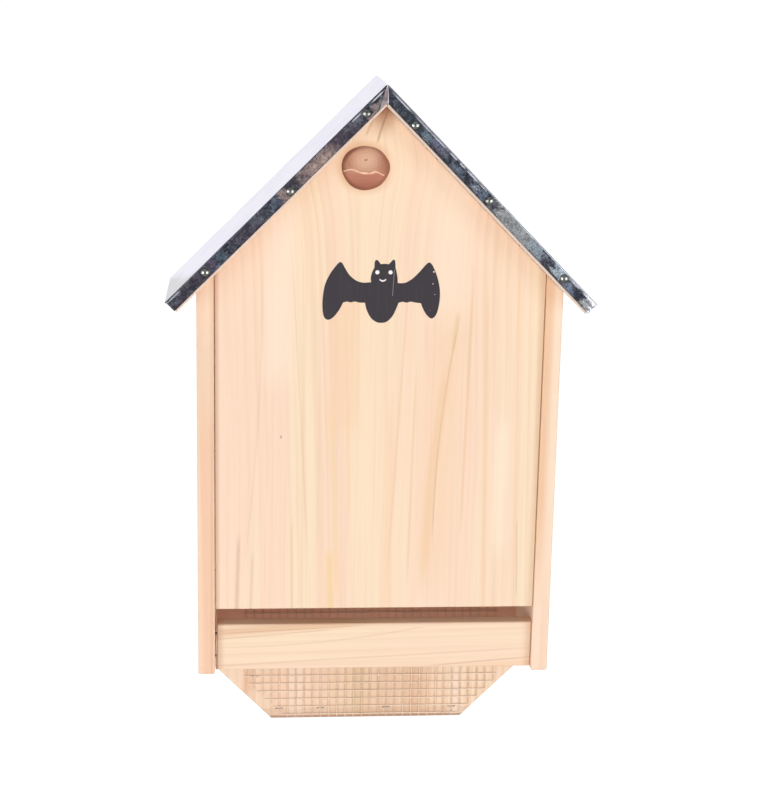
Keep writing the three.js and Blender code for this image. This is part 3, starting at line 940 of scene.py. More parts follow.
    def surface(self, shop: NodeShop) -> Sock:
        """Adds the zinc's nodes."""
        along, across, _ = shop.split(shop.node("ShaderNodeUVMap", {"uv_map": "sheet"}))
        spot = SheetSpot(shop.place(), along * TO_MM, across * TO_MM)
        strip = self.edge_lines(shop, self.strip_colour(shop, spot), spot)
        on_strip = spot.out.smooth(-0.75, -0.45)
        colour = shop.blend(on_strip, self.slope_colour(shop, spot), strip)
        colour = self.lap_colour(shop, colour, spot)
        cells = shop.grain(spot.place, 85.0, 4.0, 0.6)
        ripple = shop.grain(spot.place, 420.0, 2.0)
        roughness = cells * 0.2 - on_strip * 0.08 + 0.24
        return self.shader(shop, colour, roughness, cells * 0.8 + ripple * 0.2, 0.06, metallic=1.0)


@dataclass(frozen=True)
class SteelFinish(Finish):
    """Plated or galvanised steel of nails, staples and wires.

    Attributes:
        name: The material's name.
        bright: Clean metal.
        dull: Tarnished metal.
        roughness: Its mean roughness.
        grain_size: Waves of the tarnish per metre.
        metallic: How bare the metal is; dull zinc is less so.
    """

    name: str
    bright: Colour = (150, 152, 158)
    dull: Colour = (96, 96, 102)
    roughness: float = 0.2
    grain_size: float = 900.0
    metallic: float = 1.0

    def colour(self, shop: NodeShop, place: Sock, worn: Sock) -> Sock:
        """Clean metal with tarnished clouds."""
        return shop.blend(worn, self.bright, self.dull)

    def surface(self, shop: NodeShop) -> Sock:
        """Adds the metal's nodes."""
        place = shop.place()
        cloud = shop.grain(place, self.grain_size, 3.0, 0.6)
        colour = self.colour(shop, place, cloud.smooth(0.42, 0.66))
        roughness = cloud * 0.16 + (self.roughness - 0.08)
        return self.shader(shop, colour, roughness, cloud, 0.02, specular=0.3, metallic=self.metallic)


@dataclass(frozen=True)
class WireFinish(SteelFinish):
    """Dull galvanised wire; the level wires in front are painted lighter, as painted light on their shaded
    tops, and those in the box browner, as painted shade.

    Attributes:
        front: Painted lighter colour of the level wires, whose tops lie in shade.
        inside: Painted shade of the wires in the box.
        layers: Y where the level wires begin and where all is theirs.
        low: Height at which the box closes over the net.
    """

    front: Colour = (246, 226, 206)
    inside: Colour = (196, 152, 128)
    layers: Point2 = (-12.78, -12.9)
    low: float = BOX_LOW

    def colour(self, shop: NodeShop, place: Sock, worn: Sock) -> Sock:
        """Paints light onto the level wires in front and shade onto the wires in the box."""
        _, depth, height = shop.split(place)
        colour = super().colour(shop, place, worn)
        # Painted light on the level wires in front.
        share = (depth * TO_MM).smooth(*self.layers) * (1.0 - worn * 0.3)
        colour = shop.blend(share, colour, self.front)
        # Painted shade on the wires inside the box.
        share = (height * TO_MM).smooth(self.low - 10.0, self.low + 6.0)
        return shop.blend(share * 0.9, colour, self.inside)


@dataclass(frozen=True)
class PaintFinish(Finish):
    """Thin charcoal paint through which the fibres show.

    Attributes:
        name: The material's name.
        body: Full paint.
        worn: Paint over a raised fibre.
    """

    name: str = "charcoal_paint"
    body: Colour = (62, 58, 63)
    worn: Colour = (78, 73, 76)

    def surface(self, shop: NodeShop) -> Sock:
        """Adds the paint's nodes."""
        place = shop.place()
        fibre = shop.grain(place, (1500.0, 1500.0, 26.0), 3.0, 0.6)
        cloud = shop.grain(place, (60.0, 60.0, 30.0), 3.0)
        thin = fibre.smooth(0.52, 0.74) * 0.6 + cloud.smooth(0.5, 0.7) * 0.25
        colour = shop.blend(thin, self.body, self.worn)
        return self.shader(shop, colour, fibre * 0.2 + 0.5, fibre, 0.04, specular=0.06)


# Meshes


@dataclass
class MeshStock:
    """Points and faces, in millimetres, that become one object.

    Attributes:
        points: Corner places.
        faces: Faces as rows of point numbers.
        maps: A pair of millimetres for each point, where a finish follows the surface.
        shares: A value for each point that a finish reads by its name.
    """

    points: list[Vector] = field(default_factory=list)
    faces: list[tuple[int, ...]] = field(default_factory=list)
    maps: list[Point2] = field(default_factory=list)
    shares: list[float] = field(default_factory=list)

    def add(self, point: Sequence[float], place: Point2 = (0.0, 0.0), share: float = 0.0) -> int:
        """Adds a point and returns its number."""
        self.points.append(Vector(point))
        self.maps.append(place)
        self.shares.append(share)
        return len(self.points) - 1

    def add_grid(self, rows: Sequence[Sequence[int]], closed: bool = False) -> None:
        """Adds the faces between rows of point numbers.

        Args:
            rows: Rows of the same length.
            closed: Whether the end of each row joins its start.
        """
        for lower, upper in zip(rows, rows[1:]):
            count = len(lower)
            for i in range(count if closed else count - 1):
                j = (i + 1) % count
                face = (lower[i], lower[j], upper[j], upper[i])
                kept = tuple(dict.fromkeys(face))
                if len(kept) > 2:
                    self.faces.append(kept)

    def mesh(self, name: str, map_name: str = "", share_name: str = "") -> Mesh:
        """Makes the mesh in metres.

        Args:
            name: The mesh's name.
            map_name: Name of the surface's own map, if it has one.
            share_name: Name of the value at each point, if it has one.

        Returns:
            The mesh.
        """
        made = bpy.data.meshes.new(name)
        made.from_pydata([point * MM for point in self.points], [], self.faces)
        if map_name:
            layer = made.uv_layers.new(name=map_name)
            for loop in made.loops:
                layer.data[loop.index].uv = Vector(self.maps[loop.vertex_index]) * MM
        if share_name:
            values = made.attributes.new(share_name, "FLOAT", "POINT")
            values.data.foreach_set("value", self.shares)
        return made


@dataclass(frozen=True)
class Workshop:
    """Turns meshes into finished pieces of the object.

    Attributes:
        crease: Angle in degrees from which an edge is sharp.
    """

    crease: float = 32.0

    def place(self, name: str, mesh: Mesh) -> Object:
        """Puts a mesh into the scene as an object at the origin."""
        made = bpy.data.objects.new(name, mesh)
        bpy.context.scene.collection.objects.link(made)
        return made

    def flatten(self, piece: Object) -> Object:
        """Bakes the piece's modifiers into a plain mesh.

        Args:
            piece: An object with live modifiers.

        Returns:
            A new object of the same name; the old one is gone.
        """
        bpy.context.view_layer.update()
        graph = bpy.context.evaluated_depsgraph_get()
        evaluated = piece.evaluated_get(graph)
        mesh = bpy.data.meshes.new_from_object(evaluated, preserve_all_data_layers=True, depsgraph=graph)
        name = piece.name
        old = piece.data
        bpy.data.objects.remove(piece)
        bpy.data.meshes.remove(old)
        mesh.name = name
        return self.place(name, mesh)

    def tidy_mesh(self, mesh: Mesh, merge: float = 0.0) -> Mesh:
        """Points the faces outwards and sets which edges are sharp.

        Args:
            mesh: The mesh.
            merge: Points nearer than this many millimetres become one.

        Returns:
            The same mesh.
        """
        shape = bmesh.new()
        shape.from_mesh(mesh)
        if merge:
            bmesh.ops.remove_doubles(shape, verts=shape.verts, dist=merge * MM)
        bmesh.ops.recalc_face_normals(shape, faces=shape.faces)
        shape.to_mesh(mesh)
        shape.free()
        mesh.shade_smooth()
        mesh.set_sharp_from_angle(angle=math.radians(self.crease))
        return mesh

    def finish(
        self,
        piece: Object,
        finish: Finish | None = None,
        slot: str = "",
        nodes: Sequence[str] = (),
    ) -> None:
        """Dresses a piece and hands it to the frame.

        Args:
            piece: The finished object.
            finish: Its finish, or None if it already has a material.
            slot: Not used.
            nodes: The nodes that it stands for.
        """
        if finish is not None:
            piece.data.materials.clear()
            piece.data.materials.append(finish.material())
        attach(piece, BODY)
        if nodes:
            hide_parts(*nodes)
        LOG.info("%s: %d faces, stands for %d nodes", piece.name, len(piece.data.polygons), len(nodes))

    def add(self, name: str, stock: MeshStock, finish: Finish, slot: str = "") -> None:
        """Makes a finished piece that stands for no node.

        Args:
            name: Name of the piece.
            stock: Its points and faces.
            finish: Its finish.
            slot: Passed on to finish, which does not use it.
        """
        self.finish(self.place(name, self.tidy_mesh(stock.mesh(name))), finish, slot)


WORKSHOP = Workshop()


@dataclass
class PatternTree:
    """A geometry tree with named inputs.

    Attributes:
        name: The tree's name.
        sockets: Type of each input by name, after the geometry.
        tree: The tree itself.
        shop: Adds its nodes.
        keys: Identifier of each input by name.
        entry: The node that gives the inputs.
    """

    name: str
    sockets: dict[str, str]
    tree: NodeTree = field(init=False)
    shop: NodeShop = field(init=False)
    keys: dict[str, str] = field(init=False, default_factory=dict)
    entry: Node = field(init=False)

    def __post_init__(self) -> None:
        """Makes the tree and its inputs."""
        self.tree = bpy.data.node_groups.new(self.name, "GeometryNodeTree")
        face = self.tree.interface
        face.new_socket("Geometry", in_out="INPUT", socket_type="NodeSocketGeometry")
        face.new_socket("Geometry", in_out="OUTPUT", socket_type="NodeSocketGeometry")
        for label, kind in self.sockets.items():
            made = face.new_socket(label, in_out="INPUT", socket_type=kind)
            self.keys[label] = made.identifier
        self.shop = NodeShop(self.tree)
        self.entry = self.tree.nodes.new("NodeGroupInput")

    def given(self, label: str) -> Sock:
        """One of the tree's inputs."""
        return Sock(self.shop, self.entry.outputs[label])

    def close(self, geometry: Sock) -> None:
        """Ends the tree: instances made real, the finish set."""
        real = self.shop.node("GeometryNodeRealizeInstances", inputs={0: geometry})
        inputs = {"Geometry": real, "Material": self.given("Finish")}
        dressed = self.shop.node("GeometryNodeSetMaterial", inputs=inputs)
        self.shop.node("NodeGroupOutput", inputs={0: dressed})

    def run(self, name: str, base: Mesh, values: dict[str, Value]) -> Object:
        """Runs the tree on a mesh.

        Args:
            name: Name of the piece.
            base: The mesh that the tree starts from.
            values: Values of its inputs by name.

        Returns:
            The result as a plain object.
        """
        carrier = WORKSHOP.place(name, base)
        modifier = carrier.modifiers.new("pattern", "NODES")
        modifier.node_group = self.tree
        for label, value in values.items():
            modifier[self.keys[label]] = value
        made = WORKSHOP.flatten(carrier)
        made.modifiers.clear()
        return made


def wire_tree() -> PatternTree:
    """Tree that turns straight edges into slightly wavy round wires."""
    pattern = PatternTree("wires_on_edges", {
        "Wire Radius": "NodeSocketFloat",
        "Step": "NodeSocketFloat",
        "Wave": "NodeSocketFloat",
        "Sides": "NodeSocketInt",
        "Seed": "NodeSocketFloat",
        "Finish": "NodeSocketMaterial",
    })
    shop = pattern.shop
    line = shop.node("GeometryNodeMeshToCurve", inputs={0: pattern.given("Geometry")})
    fine = shop.node("GeometryNodeResampleCurve", {"mode": "LENGTH"}, {
        "Curve": line,
        "Length": pattern.given("Step"),
    })
    place = shop.node("GeometryNodeInputPosition")
    settings = {"noise_dimensions": "4D"}
    inputs = {"Vector": place, "W": pattern.given("Seed"), "Scale": 34.0, "Detail": 1.0}
    cloud = shop.node("ShaderNodeTexNoise", settings, inputs, 1)
    centred = shop.node("ShaderNodeVectorMath", {"operation": "SUBTRACT"}, {0: cloud, 1: (0.5, 0.5, 0.5)})
    scaled = {0: centred, "Scale": pattern.given("Wave")}
    push = shop.node("ShaderNodeVectorMath", {"operation": "SCALE"}, scaled)
    wavy = shop.node("GeometryNodeSetPosition", inputs={"Geometry": fine, "Offset": push})
    inputs = {"Resolution": pattern.given("Sides"), "Radius": pattern.given("Wire Radius")}
    round_section = shop.node("GeometryNodeCurvePrimitiveCircle", inputs=inputs)
    inputs = {"Curve": wavy, "Profile Curve": round_section, "Fill Caps": True}
    pattern.close(shop.node("GeometryNodeCurveToMesh", inputs=inputs))
    return pattern


def scatter_tree() -> PatternTree:
    """Tree that sets a copy of a template at each point, turned as the point says."""
    pattern = PatternTree("copies_on_points", {
        "Template": "NodeSocketObject",
        "Size Spread": "NodeSocketFloat",
        "Seed": "NodeSocketInt",
        "Finish": "NodeSocketMaterial",
    })
    shop = pattern.shop
    template = shop.node("GeometryNodeObjectInfo", inputs={
        "Object": pattern.given("Template"),
        "As Instance": True,
    }, output="Geometry")
    turn = shop.node("GeometryNodeInputNamedAttribute", {"data_type": "FLOAT_VECTOR"}, {"Name": "turn"})
    inputs = {
        2: 1.0 - pattern.given("Size Spread"),
        3: 1.0 + pattern.given("Size Spread"),
        "Seed": pattern.given("Seed"),
    }
    size = shop.node("FunctionNodeRandomValue", {"data_type": "FLOAT"}, inputs, 1)
    inputs = {
        "Points": pattern.given("Geometry"),
        "Instance": template,
        "Rotation": turn,
        "Scale": size,
    }
    pattern.close(shop.node("GeometryNodeInstanceOnPoints", inputs=inputs))
    return pattern


@dataclass(frozen=True)
class Spot:
    """A place for one copy.

    Attributes:
        at: Where it sits, in millimetres.
        turn: How it is turned, as Euler angles.
    """

    at: Point3
    turn: Point3 = (0.0, 0.0, 0.0)


@dataclass
class Scatter:
    """Sets copies of one template at many places.

    Attributes:
        pattern: The tree that does it.
    """

    pattern: PatternTree

    def run(
        self,
        name: str,
        template: Mesh,
        spots: Sequence[Spot],
        material: Material,
        spread: float = 0.0,
        seed: int = 1,
    ) -> Object:
        """Makes one piece of all copies.

        Args:
            name: Name of the piece.
            template: Mesh of one copy at the origin.
            spots: Where the copies go.
            material: Their finish.
            spread: How much their sizes differ.
            seed: Seed of the sizes.

        Returns:
            The piece as a plain object.
        """
        base = bpy.data.meshes.new(name)
        base.from_pydata([Vector(spot.at) * MM for spot in spots], [], [])
        turns = base.attributes.new("turn", "FLOAT_VECTOR", "POINT")
        turns.data.foreach_set("vector", [angle for spot in spots for angle in spot.turn])
        pattern_piece = WORKSHOP.place(f"{name}_template", template)
        made = self.pattern.run(name, base, {
            "Template": pattern_piece,
            "Size Spread": spread,
            "Seed": seed,
            "Finish": material,
        })
        bpy.data.objects.remove(pattern_piece)
        return made


def lathe(profile: Sequence[Point2], sides: int) -> MeshStock:
    """A turned shape about the Y axis.

    Args:
        profile: Radius and place along Y, from one pole to the other.
        sides: Faces round the axis.

    Returns:
        The closed shape.
    """
    stock = MeshStock()
    rows = []
    for radius, y in profile:
        if radius == 0.0:
            rows.append([stock.add((0.0, y, 0.0))] * sides)
            continue
        rows.append([
            stock.add((radius * math.cos(a), y, radius * math.sin(a))) for a in round_turn(sides)
        ])
    stock.add_grid(rows, closed=True)
    return stock


def rounded_line(points: Sequence[Point2], corners: Sequence[int], steps: int) -> list[Vector]:
    """A closed line through points, smooth except at its corners.

    Args:
        points: The points.
        corners: Numbers of the points where the line has a corner; the first is one.
        steps: Pieces between two points.

    Returns:
        Points of the line.
    """
    count = len(points)
    line = []
    for i in range(count):
        j = (i + 1) % count
        before = points[i] if i in corners else points[i - 1]
        beyond = points[j] if j in corners else points[(i + 2) % count]
        p0, p1, p2, p3 = (Vector(p) for p in (before, points[i], points[j], beyond))
        for step in range(steps):
            t = step / steps
            line.append(0.5 * (
                2 * p1 + (p2 - p0) * t
                + (2 * p0 - 5 * p1 + 4 * p2 - p3) * t * t
                + (3 * p1 - p0 - 3 * p2 + p3) * t * t * t
            ))
    return line


def ring_line(centre: Point2, radius: float, steps: int) -> list[Vector]:
    """A closed round line."""
    x, z = centre
    return [Vector((x + radius * math.cos(a), z + radius * math.sin(a))) for a in round_turn(steps)]


def plate(loops: Sequence[Sequence[Vector]], front: float, rear: float) -> MeshStock:
    """A flat plate with holes, facing the front.

    Args:
        loops: Its outline and then its holes, in the XZ plane.
        front: Y of its front face.
        rear: Y of its rear face.

    Returns:
        The closed plate.
    """
    stock = MeshStock()
    rings = []
    for y in (front, rear):
        rings.append([[stock.add((p.x, y, p.y)) for p in loop] for loop in loops])
    flat = [[Vector((p.x, p.y, 0.0)) for p in loop] for loop in loops]
    order = [[index for loop in side for index in loop] for side in rings]
    for triangle in tessellate_polygon(flat):
        for side in order:
            stock.faces.append(tuple(side[i] for i in triangle))
    for front_loop, rear_loop in zip(*rings):
        stock.add_grid([front_loop, rear_loop], closed=True)
    return stock


def named(start: str) -> list[str]:
    """Names of the nodes that start with some words."""
    return sorted(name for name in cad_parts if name.startswith(start))


# Sub-assemblies


@dataclass
class Body:
    """The boards: back, sides, front panel, rail and the two roof boards.

    Attributes:
        panel_face: Y of the panel's face.
        knot_proud: How far the knot stands out of it.
        knot_centre: Centre of the knot.
        knot_half: Half of its width and of its height.
        knot_sides: Points round it.
        knot_rings: Its rings of points, as shares of its size.
        crack: Points of the pale line across it.
        crack_half: Half of that line's width and of its height.
        crack_sides: Points round that line.
    """

    panel_face: float = PANEL_FACE
    knot_proud: float = 0.22
    knot_centre: Point2 = KNOT_CENTRE
    knot_half: Point2 = (16.4, 15.1)
    knot_sides: int = 72
    knot_rings: tuple[float, ...] = (0.12, 0.26, 0.4, 0.54, 0.68, 0.8, 0.88, 0.94, 0.98, 1.0)
    crack: tuple[Point2, ...] = (
        (-27.3, 13.3), (-23.0, 14.5), (-20.4, 14.3), (-17.4, 13.0), (-13.9, 12.2),
        (-9.6, 12.0), (-7.0, 12.7), (-5.2, 13.2), (-2.6, 12.1), (0.4, 10.6),
    )
    crack_half: Point2 = (0.62, 0.28)
    crack_sides: int = 10

    def panel_streaks(self) -> tuple[Streak, ...]:
        """The marks that show on the front panel, with painted shade along its edges."""
        tan, yellow, orange = (222, 184, 146), (246, 212, 170), (246, 206, 168)
        white, brown = (253, 234, 212), (205, 165, 128)
        return streak_rows(
            (-70, -60, 90, 17, white, 0.5, 0.02), (46, -34, 70, 30, (254, 232, 206), 0.5),
            (88, -210, 60, 9, white, 0.45), (-24, -120, 62, 17, orange, 0.4),
            (44, -180, 120, 20, orange, 0.36, 0.03), (8, -230, 100, 6, orange, 0.4),
            (-84, -150, 130, 1.3, tan, 0.2, 0.05, -0.0003), (-55.3, -150, 120, 0.9, tan, 0.3, -0.058),
            (-30.6, -220, 90, 3.4, yellow, 0.6, -0.05, -0.00012),
            (-22, -150, 90, 2.2, yellow, 0.4, -0.03), (43.5, -170, 92, 1, brown, 0.42, 0.09, 0.0006),
            (38.5, -200, 95, 5.5, (240, 200, 158), 0.5, 0.09, 0.0005),
            (52.4, -98, 16, 2.4, (226, 190, 138), 0.4, 0.1),
            (62, -150, 110, 1.6, (236, 192, 150), 0.5, 0.02),
            (76.2, -190, 150, 2.6, (240, 202, 160), 0.5, -0.02),
            (97.5, -170, 140, 1.6, yellow, 0.5, -0.014),
            (14, -160, 120, 1.2, (236, 194, 154), 0.4, 0.05),
            (24, -205, 90, 1.4, (232, 190, 150), 0.4, 0.02), (-60.2, -272, 44, 1.2, tan, 0.35, -0.008),
            (-33, -282, 30, 4.2, (244, 208, 150), 0.6, -0.03),
            (101.5, -264, 34, 0.8, (190, 168, 150), 0.35, -0.03),
            (-99, -280, 40, 2.2, (214, 176, 156), 0.5, 0.03),
            (-89, -284, 30, 1.6, (220, 184, 160), 0.4, 0.03),
            (-68.5, -173, 1.3, 1, (190, 150, 118), 0.8),
            # Painted shade along the panel's left and right edges, next to the side boards.
            (-114.65, -150, 400, 4.2, (190, 146, 118), 0.55),
            (114.7, -150, 400, 6.5, (206, 160, 118), 0.42),
        )

    def finishes(self) -> dict[str, WoodFinish]:
        """The wood of each board."""
        warm = {"cream": (251, 227, 200), "blush": (250, 218, 194), "late": (230, 182, 148)}
        bare = {"cream": (244, 226, 208), "blush": (242, 217, 201), "late": (224, 196, 174)}
        left = streak_rows(
            (-121, -290, 170, 9, (244, 196, 164), 0.6),
            (-117, -270, 120, 1.5, (226, 176, 146), 0.5, 0.004),
            (-115, -110, 110, 4.6, (232, 186, 152), 0.5),
        )
        right = (Streak(116, -60, 260, 8, (236, 188, 146), 0.66),)
        rail = streak_rows(
            (316.5, -75, 88, 5.2, (226, 182, 146), 0.6, -0.08),
            (312.6, 0, 300, 3.2, (222, 180, 150), 0.4),
            (321.6, -80, 60, 0.9, (210, 162, 128), 0.4, -0.08),
            (317.4, -60, 60, 0.8, (206, 156, 120), 0.4, -0.05),
            (327.2, -40, 96, 1.1, (226, 188, 156), 0.3, -0.0955, -0.00067),
            (339, 0, 150, 1.2, (224, 184, 152), 0.35, -0.05),
            (342.2, 92, 60, 1, (210, 164, 130), 0.45, -0.08),
            (346.4, 96, 50, 3.6, (246, 204, 162), 0.5, -0.07),
            # The last three rows are painted shade at the rail's ends next to the side boards, darkest in
            # the left gap.
            (330, -120, 13, 200, (206, 160, 134), 0.45), (330, -114.6, 2.2, 200, (128, 84, 68), 0.55),
            (330, 120, 13, 200, (218, 172, 138), 0.35),
        )
        # In the landing, the rows at -415 and -416.2 are painted shade along the board's lower edge.
        landing = streak_rows(
            (8, -398, 70, 66, (226, 188, 156), 0.38), (0, -415, 9, 400, (212, 176, 148), 0.45),
            (38, -398, 60, 13, (216, 170, 134), 0.4), (-6, -398, 50, 7, (214, 188, 144), 0.4),
            (-91, -384, 15, 6, (226, 176, 138), 0.5, 0.1), (69, -398, 60, 8, (252, 234, 214), 0.6),
            (-55, -398, 60, 9, (250, 228, 210), 0.4, 0.02), (0, -416.2, 3, 400, (160, 114, 92), 0.7),
        )
        upright = GrainDirection.UPRIGHT
        return {
            "front_panel": PanelFinish(
                "panel_wood", upright, (330, 90), 6.4, 0.3, 0.02, streaks=self.panel_streaks(),
            ),
            "back_board": BackFinish(
                "back_wood", upright, (-240, 70), 5.6, 0.4, -0.02, (310, 40, 90), streaks=landing,
            ),
            "lower_front_rail": WoodFinish(
                "rail_wood", GrainDirection.LEVEL, (520, 60), 6.0, 0.2, 0.045, (90, 10, 400), streaks=rail,
            ),
            "side_board_left": WoodFinish(
                "left_side_wood", upright, (-60, 160), 4.2, 0.4, 0.01, (500, 60, 20), **warm, streaks=left,
            ),
            "side_board_right": WoodFinish(
                "right_side_wood", upright, (190, -210), 4.6, 0.35, -0.012, (700, 90, 60), **warm,
                streaks=right,
            ),
            "roof_board_left": WoodFinish(
                "left_roof_wood", GrainDirection.DOWN_LEFT, (90, 60), 4.8, 0.3, 0.01, (20, 800, 70), **bare,
            ),
            "roof_board_right": WoodFinish(
                "right_roof_wood", GrainDirection.DOWN_RIGHT, (120, -190), 5.0, 0.3, 0.0, (60, 900, 30),
                **bare,
            ),
        }

    def dress(self) -> None:
        """Gives each board its own wood."""
        for name, finish in self.finishes().items():
            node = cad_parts[name]
            if node.material_slots:
                for slot in node.material_slots:
                    slot.material = finish.material()
            else:
                node.data.materials.append(finish.material())
            LOG.info("%s: %s", name, finish.name)

    def knot_edge(self, angle: float) -> Vector:
        """The knot's uneven edge, from its centre."""
        wobble = 1 + 0.035 * noise.noise(Vector((math.cos(angle) * 1.7, math.sin(angle) * 1.7, 4.2)))
        wobble += 0.018 * math.sin(3 * angle + 0.6)
        return Vector((math.cos(angle) * self.knot_half[0], math.sin(angle) * self.knot_half[1])) * wobble

    def knot_point(self, edge: Vector, share: float) -> Point3:
        """A point of the knot's face, lower at its rim and in its ripples.

        Args:
            edge: The knot's edge in that direction, from its centre.
            share: Way from the centre to the edge, from 0 to 1.

        Returns:
            The point.
        """
        x, z = self.knot_centre[0] + edge.x * share, self.knot_centre[1] + edge.y * share
        swell = self.knot_proud * (1 - smooth_share(0.86, 1.0, share))
        ripple = 0.05 * noise.noise(Vector((x * 0.35, z * 0.35, 1.5)))
        return (x, self.panel_face - max(swell + ripple * (1 - share), 0.01), z)

    def add_knot(self) -> None:
        """Makes the knot, with a flat rear just inside the panel."""
        stock = MeshStock()
        edges = [self.knot_edge(angle) for angle in round_turn(self.knot_sides)]
        rows = [[stock.add(self.knot_point(edges[0], 0.0))] * self.knot_sides]
        for share in self.knot_rings:
            rows.append([stock.add(self.knot_point(edge, share)) for edge in edges])
        rear = self.panel_face + 0.1
        rows.append([stock.add((stock.points[i].x, rear, stock.points[i].z)) for i in rows[-1]])
        rows.append([stock.add((self.knot_centre[0], rear, self.knot_centre[1]))] * self.knot_sides)
        stock.add_grid(rows, closed=True)
        WORKSHOP.add("panel_knot", stock, KnotFinish(), "pale_softwood")

    def add_crack(self) -> None:
        """Makes the pale line that runs across the knot."""
        parts = len(self.crack) - 1
        path = rounded_line(self.crack, (0, parts), 5)[:5 * parts + 1]
        level = self.panel_face - self.knot_proud
        stock = MeshStock()
        rows = []
        last = len(path) - 1
        for i, point in enumerate(path):
            way = (path[min(i + 1, last)] - path[max(i - 1, 0)]).normalized()
            side = Vector((-way.y, way.x))
            thick = self.crack_half[0] * (1 + 0.25 * noise.noise(Vector((i * 0.31, 7.0, 0.0))))
            thick *= 0.35 + 0.65 * math.sin(math.pi * min(max(i / last, 0.03), 0.97)) ** 0.5
            row = []
            for angle in round_turn(self.crack_sides):
                spread = side * thick * math.cos(angle)
                y = level - self.crack_half[1] * math.sin(angle)
                row.append(stock.add((point.x + spread.x, y, point.y + spread.y)))
            rows.append(row)
        for row, point in ((rows[0], path[0]), (rows[-1], path[-1])):
            tip = stock.add((point.x, level, point.y))
            stock.add_grid([row, [tip] * self.crack_sides], closed=True)
        stock.add_grid(rows, closed=True)
        WORKSHOP.add("knot_crack", stock, ResinFinish(), "pale_softwood")


@dataclass
class BatFigure:
    """A small painted bat with a plain round face, as thin paint on the panel.

    Attributes:
        face: Y of the panel's face.
        coat: Thickness of the paint.
        sunk: How far the paint reaches into the wood.
        eyes: Centres of the eyes.
        eye_radius: Their radius.
        smile: Middle of the mouth, half of its width, and its depth.
        stroke: Height of the mouth's line.
        scratch: Points of the scratch beside the head, from the top down.
        scratch_half: Half of its width.
        chips: Centre and radius of each chip in the paint.
        outline: Points of the outline.
        corners: Numbers of the outline's corners.
    """

    face: float = PANEL_FACE
    coat: float = 0.12
    sunk: float = 0.06
    eyes: tuple[Point2, ...] = ((-3.0, -55.8), (6.1, -55.8))
    eye_radius: float = 1.45
    smile: tuple[float, float, float, float] = (0.85, -61.3, 2.25, 1.05)
    stroke: float = 1.0
    scratch: tuple[Point2, ...] = ((8.7, -53.8), (8.4, -60.0), (8.1, -66.0), (7.8, -72.2))
    scratch_half: float = 0.1
    chips: tuple[tuple[float, float, float], ...] = (
        (36.1, -55.2, 0.62), (35.6, -63.6, 0.42), (37.2, -71.1, 0.26), (34.3, -82.4, 0.2),
    )
    outline: tuple[Point2, ...] = (
        (-26.3, -77.0), (-23.6, -76.4), (-21.0, -76.9), (-18.2, -76.3), (-15.2, -77.0), (-11.2, -77.1),
        (-10.0, -82.0), (-6.9, -87.8), (-2.9, -90.7), (0.7, -91.2), (4.4, -90.2), (8.1, -86.3),
        (10.9, -80.2), (12.0, -77.1), (14.9, -76.3), (17.6, -76.9), (20.6, -76.2), (23.6, -76.8),
        (27.6, -77.2), (29.2, -81.2), (31.9, -85.6), (35.4, -88.0), (38.5, -85.0), (40.4, -77.2),
        (40.6, -68.6), (38.9, -59.9), (35.4, -51.4), (32.9, -48.8), (30.4, -50.4), (25.2, -56.4),
        (20.7, -60.6), (16.0, -63.1), (11.2, -63.2), (11.0, -59.6), (10.3, -55.8), (9.4, -52.3),
        (9.2, -48.4), (8.2, -46.9), (6.7, -48.1), (4.9, -50.2), (1.7, -49.9), (-0.8, -50.2),
        (-2.3, -48.1), (-3.8, -47.2), (-4.9, -48.6), (-5.1, -52.4), (-6.8, -56.5), (-7.5, -60.0),
        (-7.1, -62.7), (-12.7, -63.1), (-17.6, -61.6), (-22.2, -57.8), (-25.2, -53.2), (-27.0, -50.0),
        (-28.6, -48.9), (-30.6, -50.4), (-35.2, -56.6), (-38.9, -64.5), (-40.4, -74.0), (-40.4, -82.0),
        (-39.4, -87.0), (-36.9, -89.2), (-33.2, -87.6), (-29.2, -82.6),
    )
    corners: tuple[int, ...] = (0, 5, 13, 18, 32, 35, 39, 41, 45, 48)

    def smile_line(self) -> list[Vector]:
        """The line of the mouth: an arc of even height."""
        x, z, half, depth = self.smile
        shares = [i / 10 for i in range(11)]
        lower = [Vector((x - half + 2 * half * s, z - depth * math.sin(math.pi * s))) for s in shares]
        return lower + [point + Vector((0.0, self.stroke)) for point in reversed(lower)]

    def scratch_line(self) -> list[Vector]:
        """The narrow scratch beside the head."""
        down = [Vector((x - self.scratch_half, z)) for x, z in self.scratch]
        return down + [Vector((x + self.scratch_half, z)) for x, z in reversed(self.scratch)]

    def build(self) -> None:
        """Makes the coat of paint, and the paler paint in its bare places."""
        left, right = (ring_line(eye, self.eye_radius, 20) for eye in self.eyes)
        chips = [ring_line((x, z), radius, 8) for x, z, radius in self.chips]
        smile, scratch = self.smile_line(), self.scratch_line()
        outline = rounded_line(self.outline, self.corners, 5)
        loops = [outline, left, right, *chips, smile, scratch]
        self.add_coat("painted_bat", loops, self.coat, PaintFinish())
        white = PaintFinish("white_paint", (255, 252, 246), (252, 240, 226))
        worn = PaintFinish("worn_paint", (206, 198, 202), (184, 176, 180))
        for name, line, paint in (
            ("painted_left_eye", left, white), ("painted_right_eye", right, white),
            ("painted_smile", smile, white), ("painted_scratch", scratch, worn),
        ):
            self.add_coat(name, [line], self.coat / 2, paint)

    def add_coat(self, name: str, loops: list[list[Vector]], coat: float, paint: PaintFinish) -> None:
        """Adds one coat of paint.

        Args:
            name: Name of the piece.
            loops: Its outline and its holes.
            coat: Its thickness.
            paint: Its finish.
        """
        WORKSHOP.add(name, plate(loops, self.face - coat, self.face + self.sunk), paint)


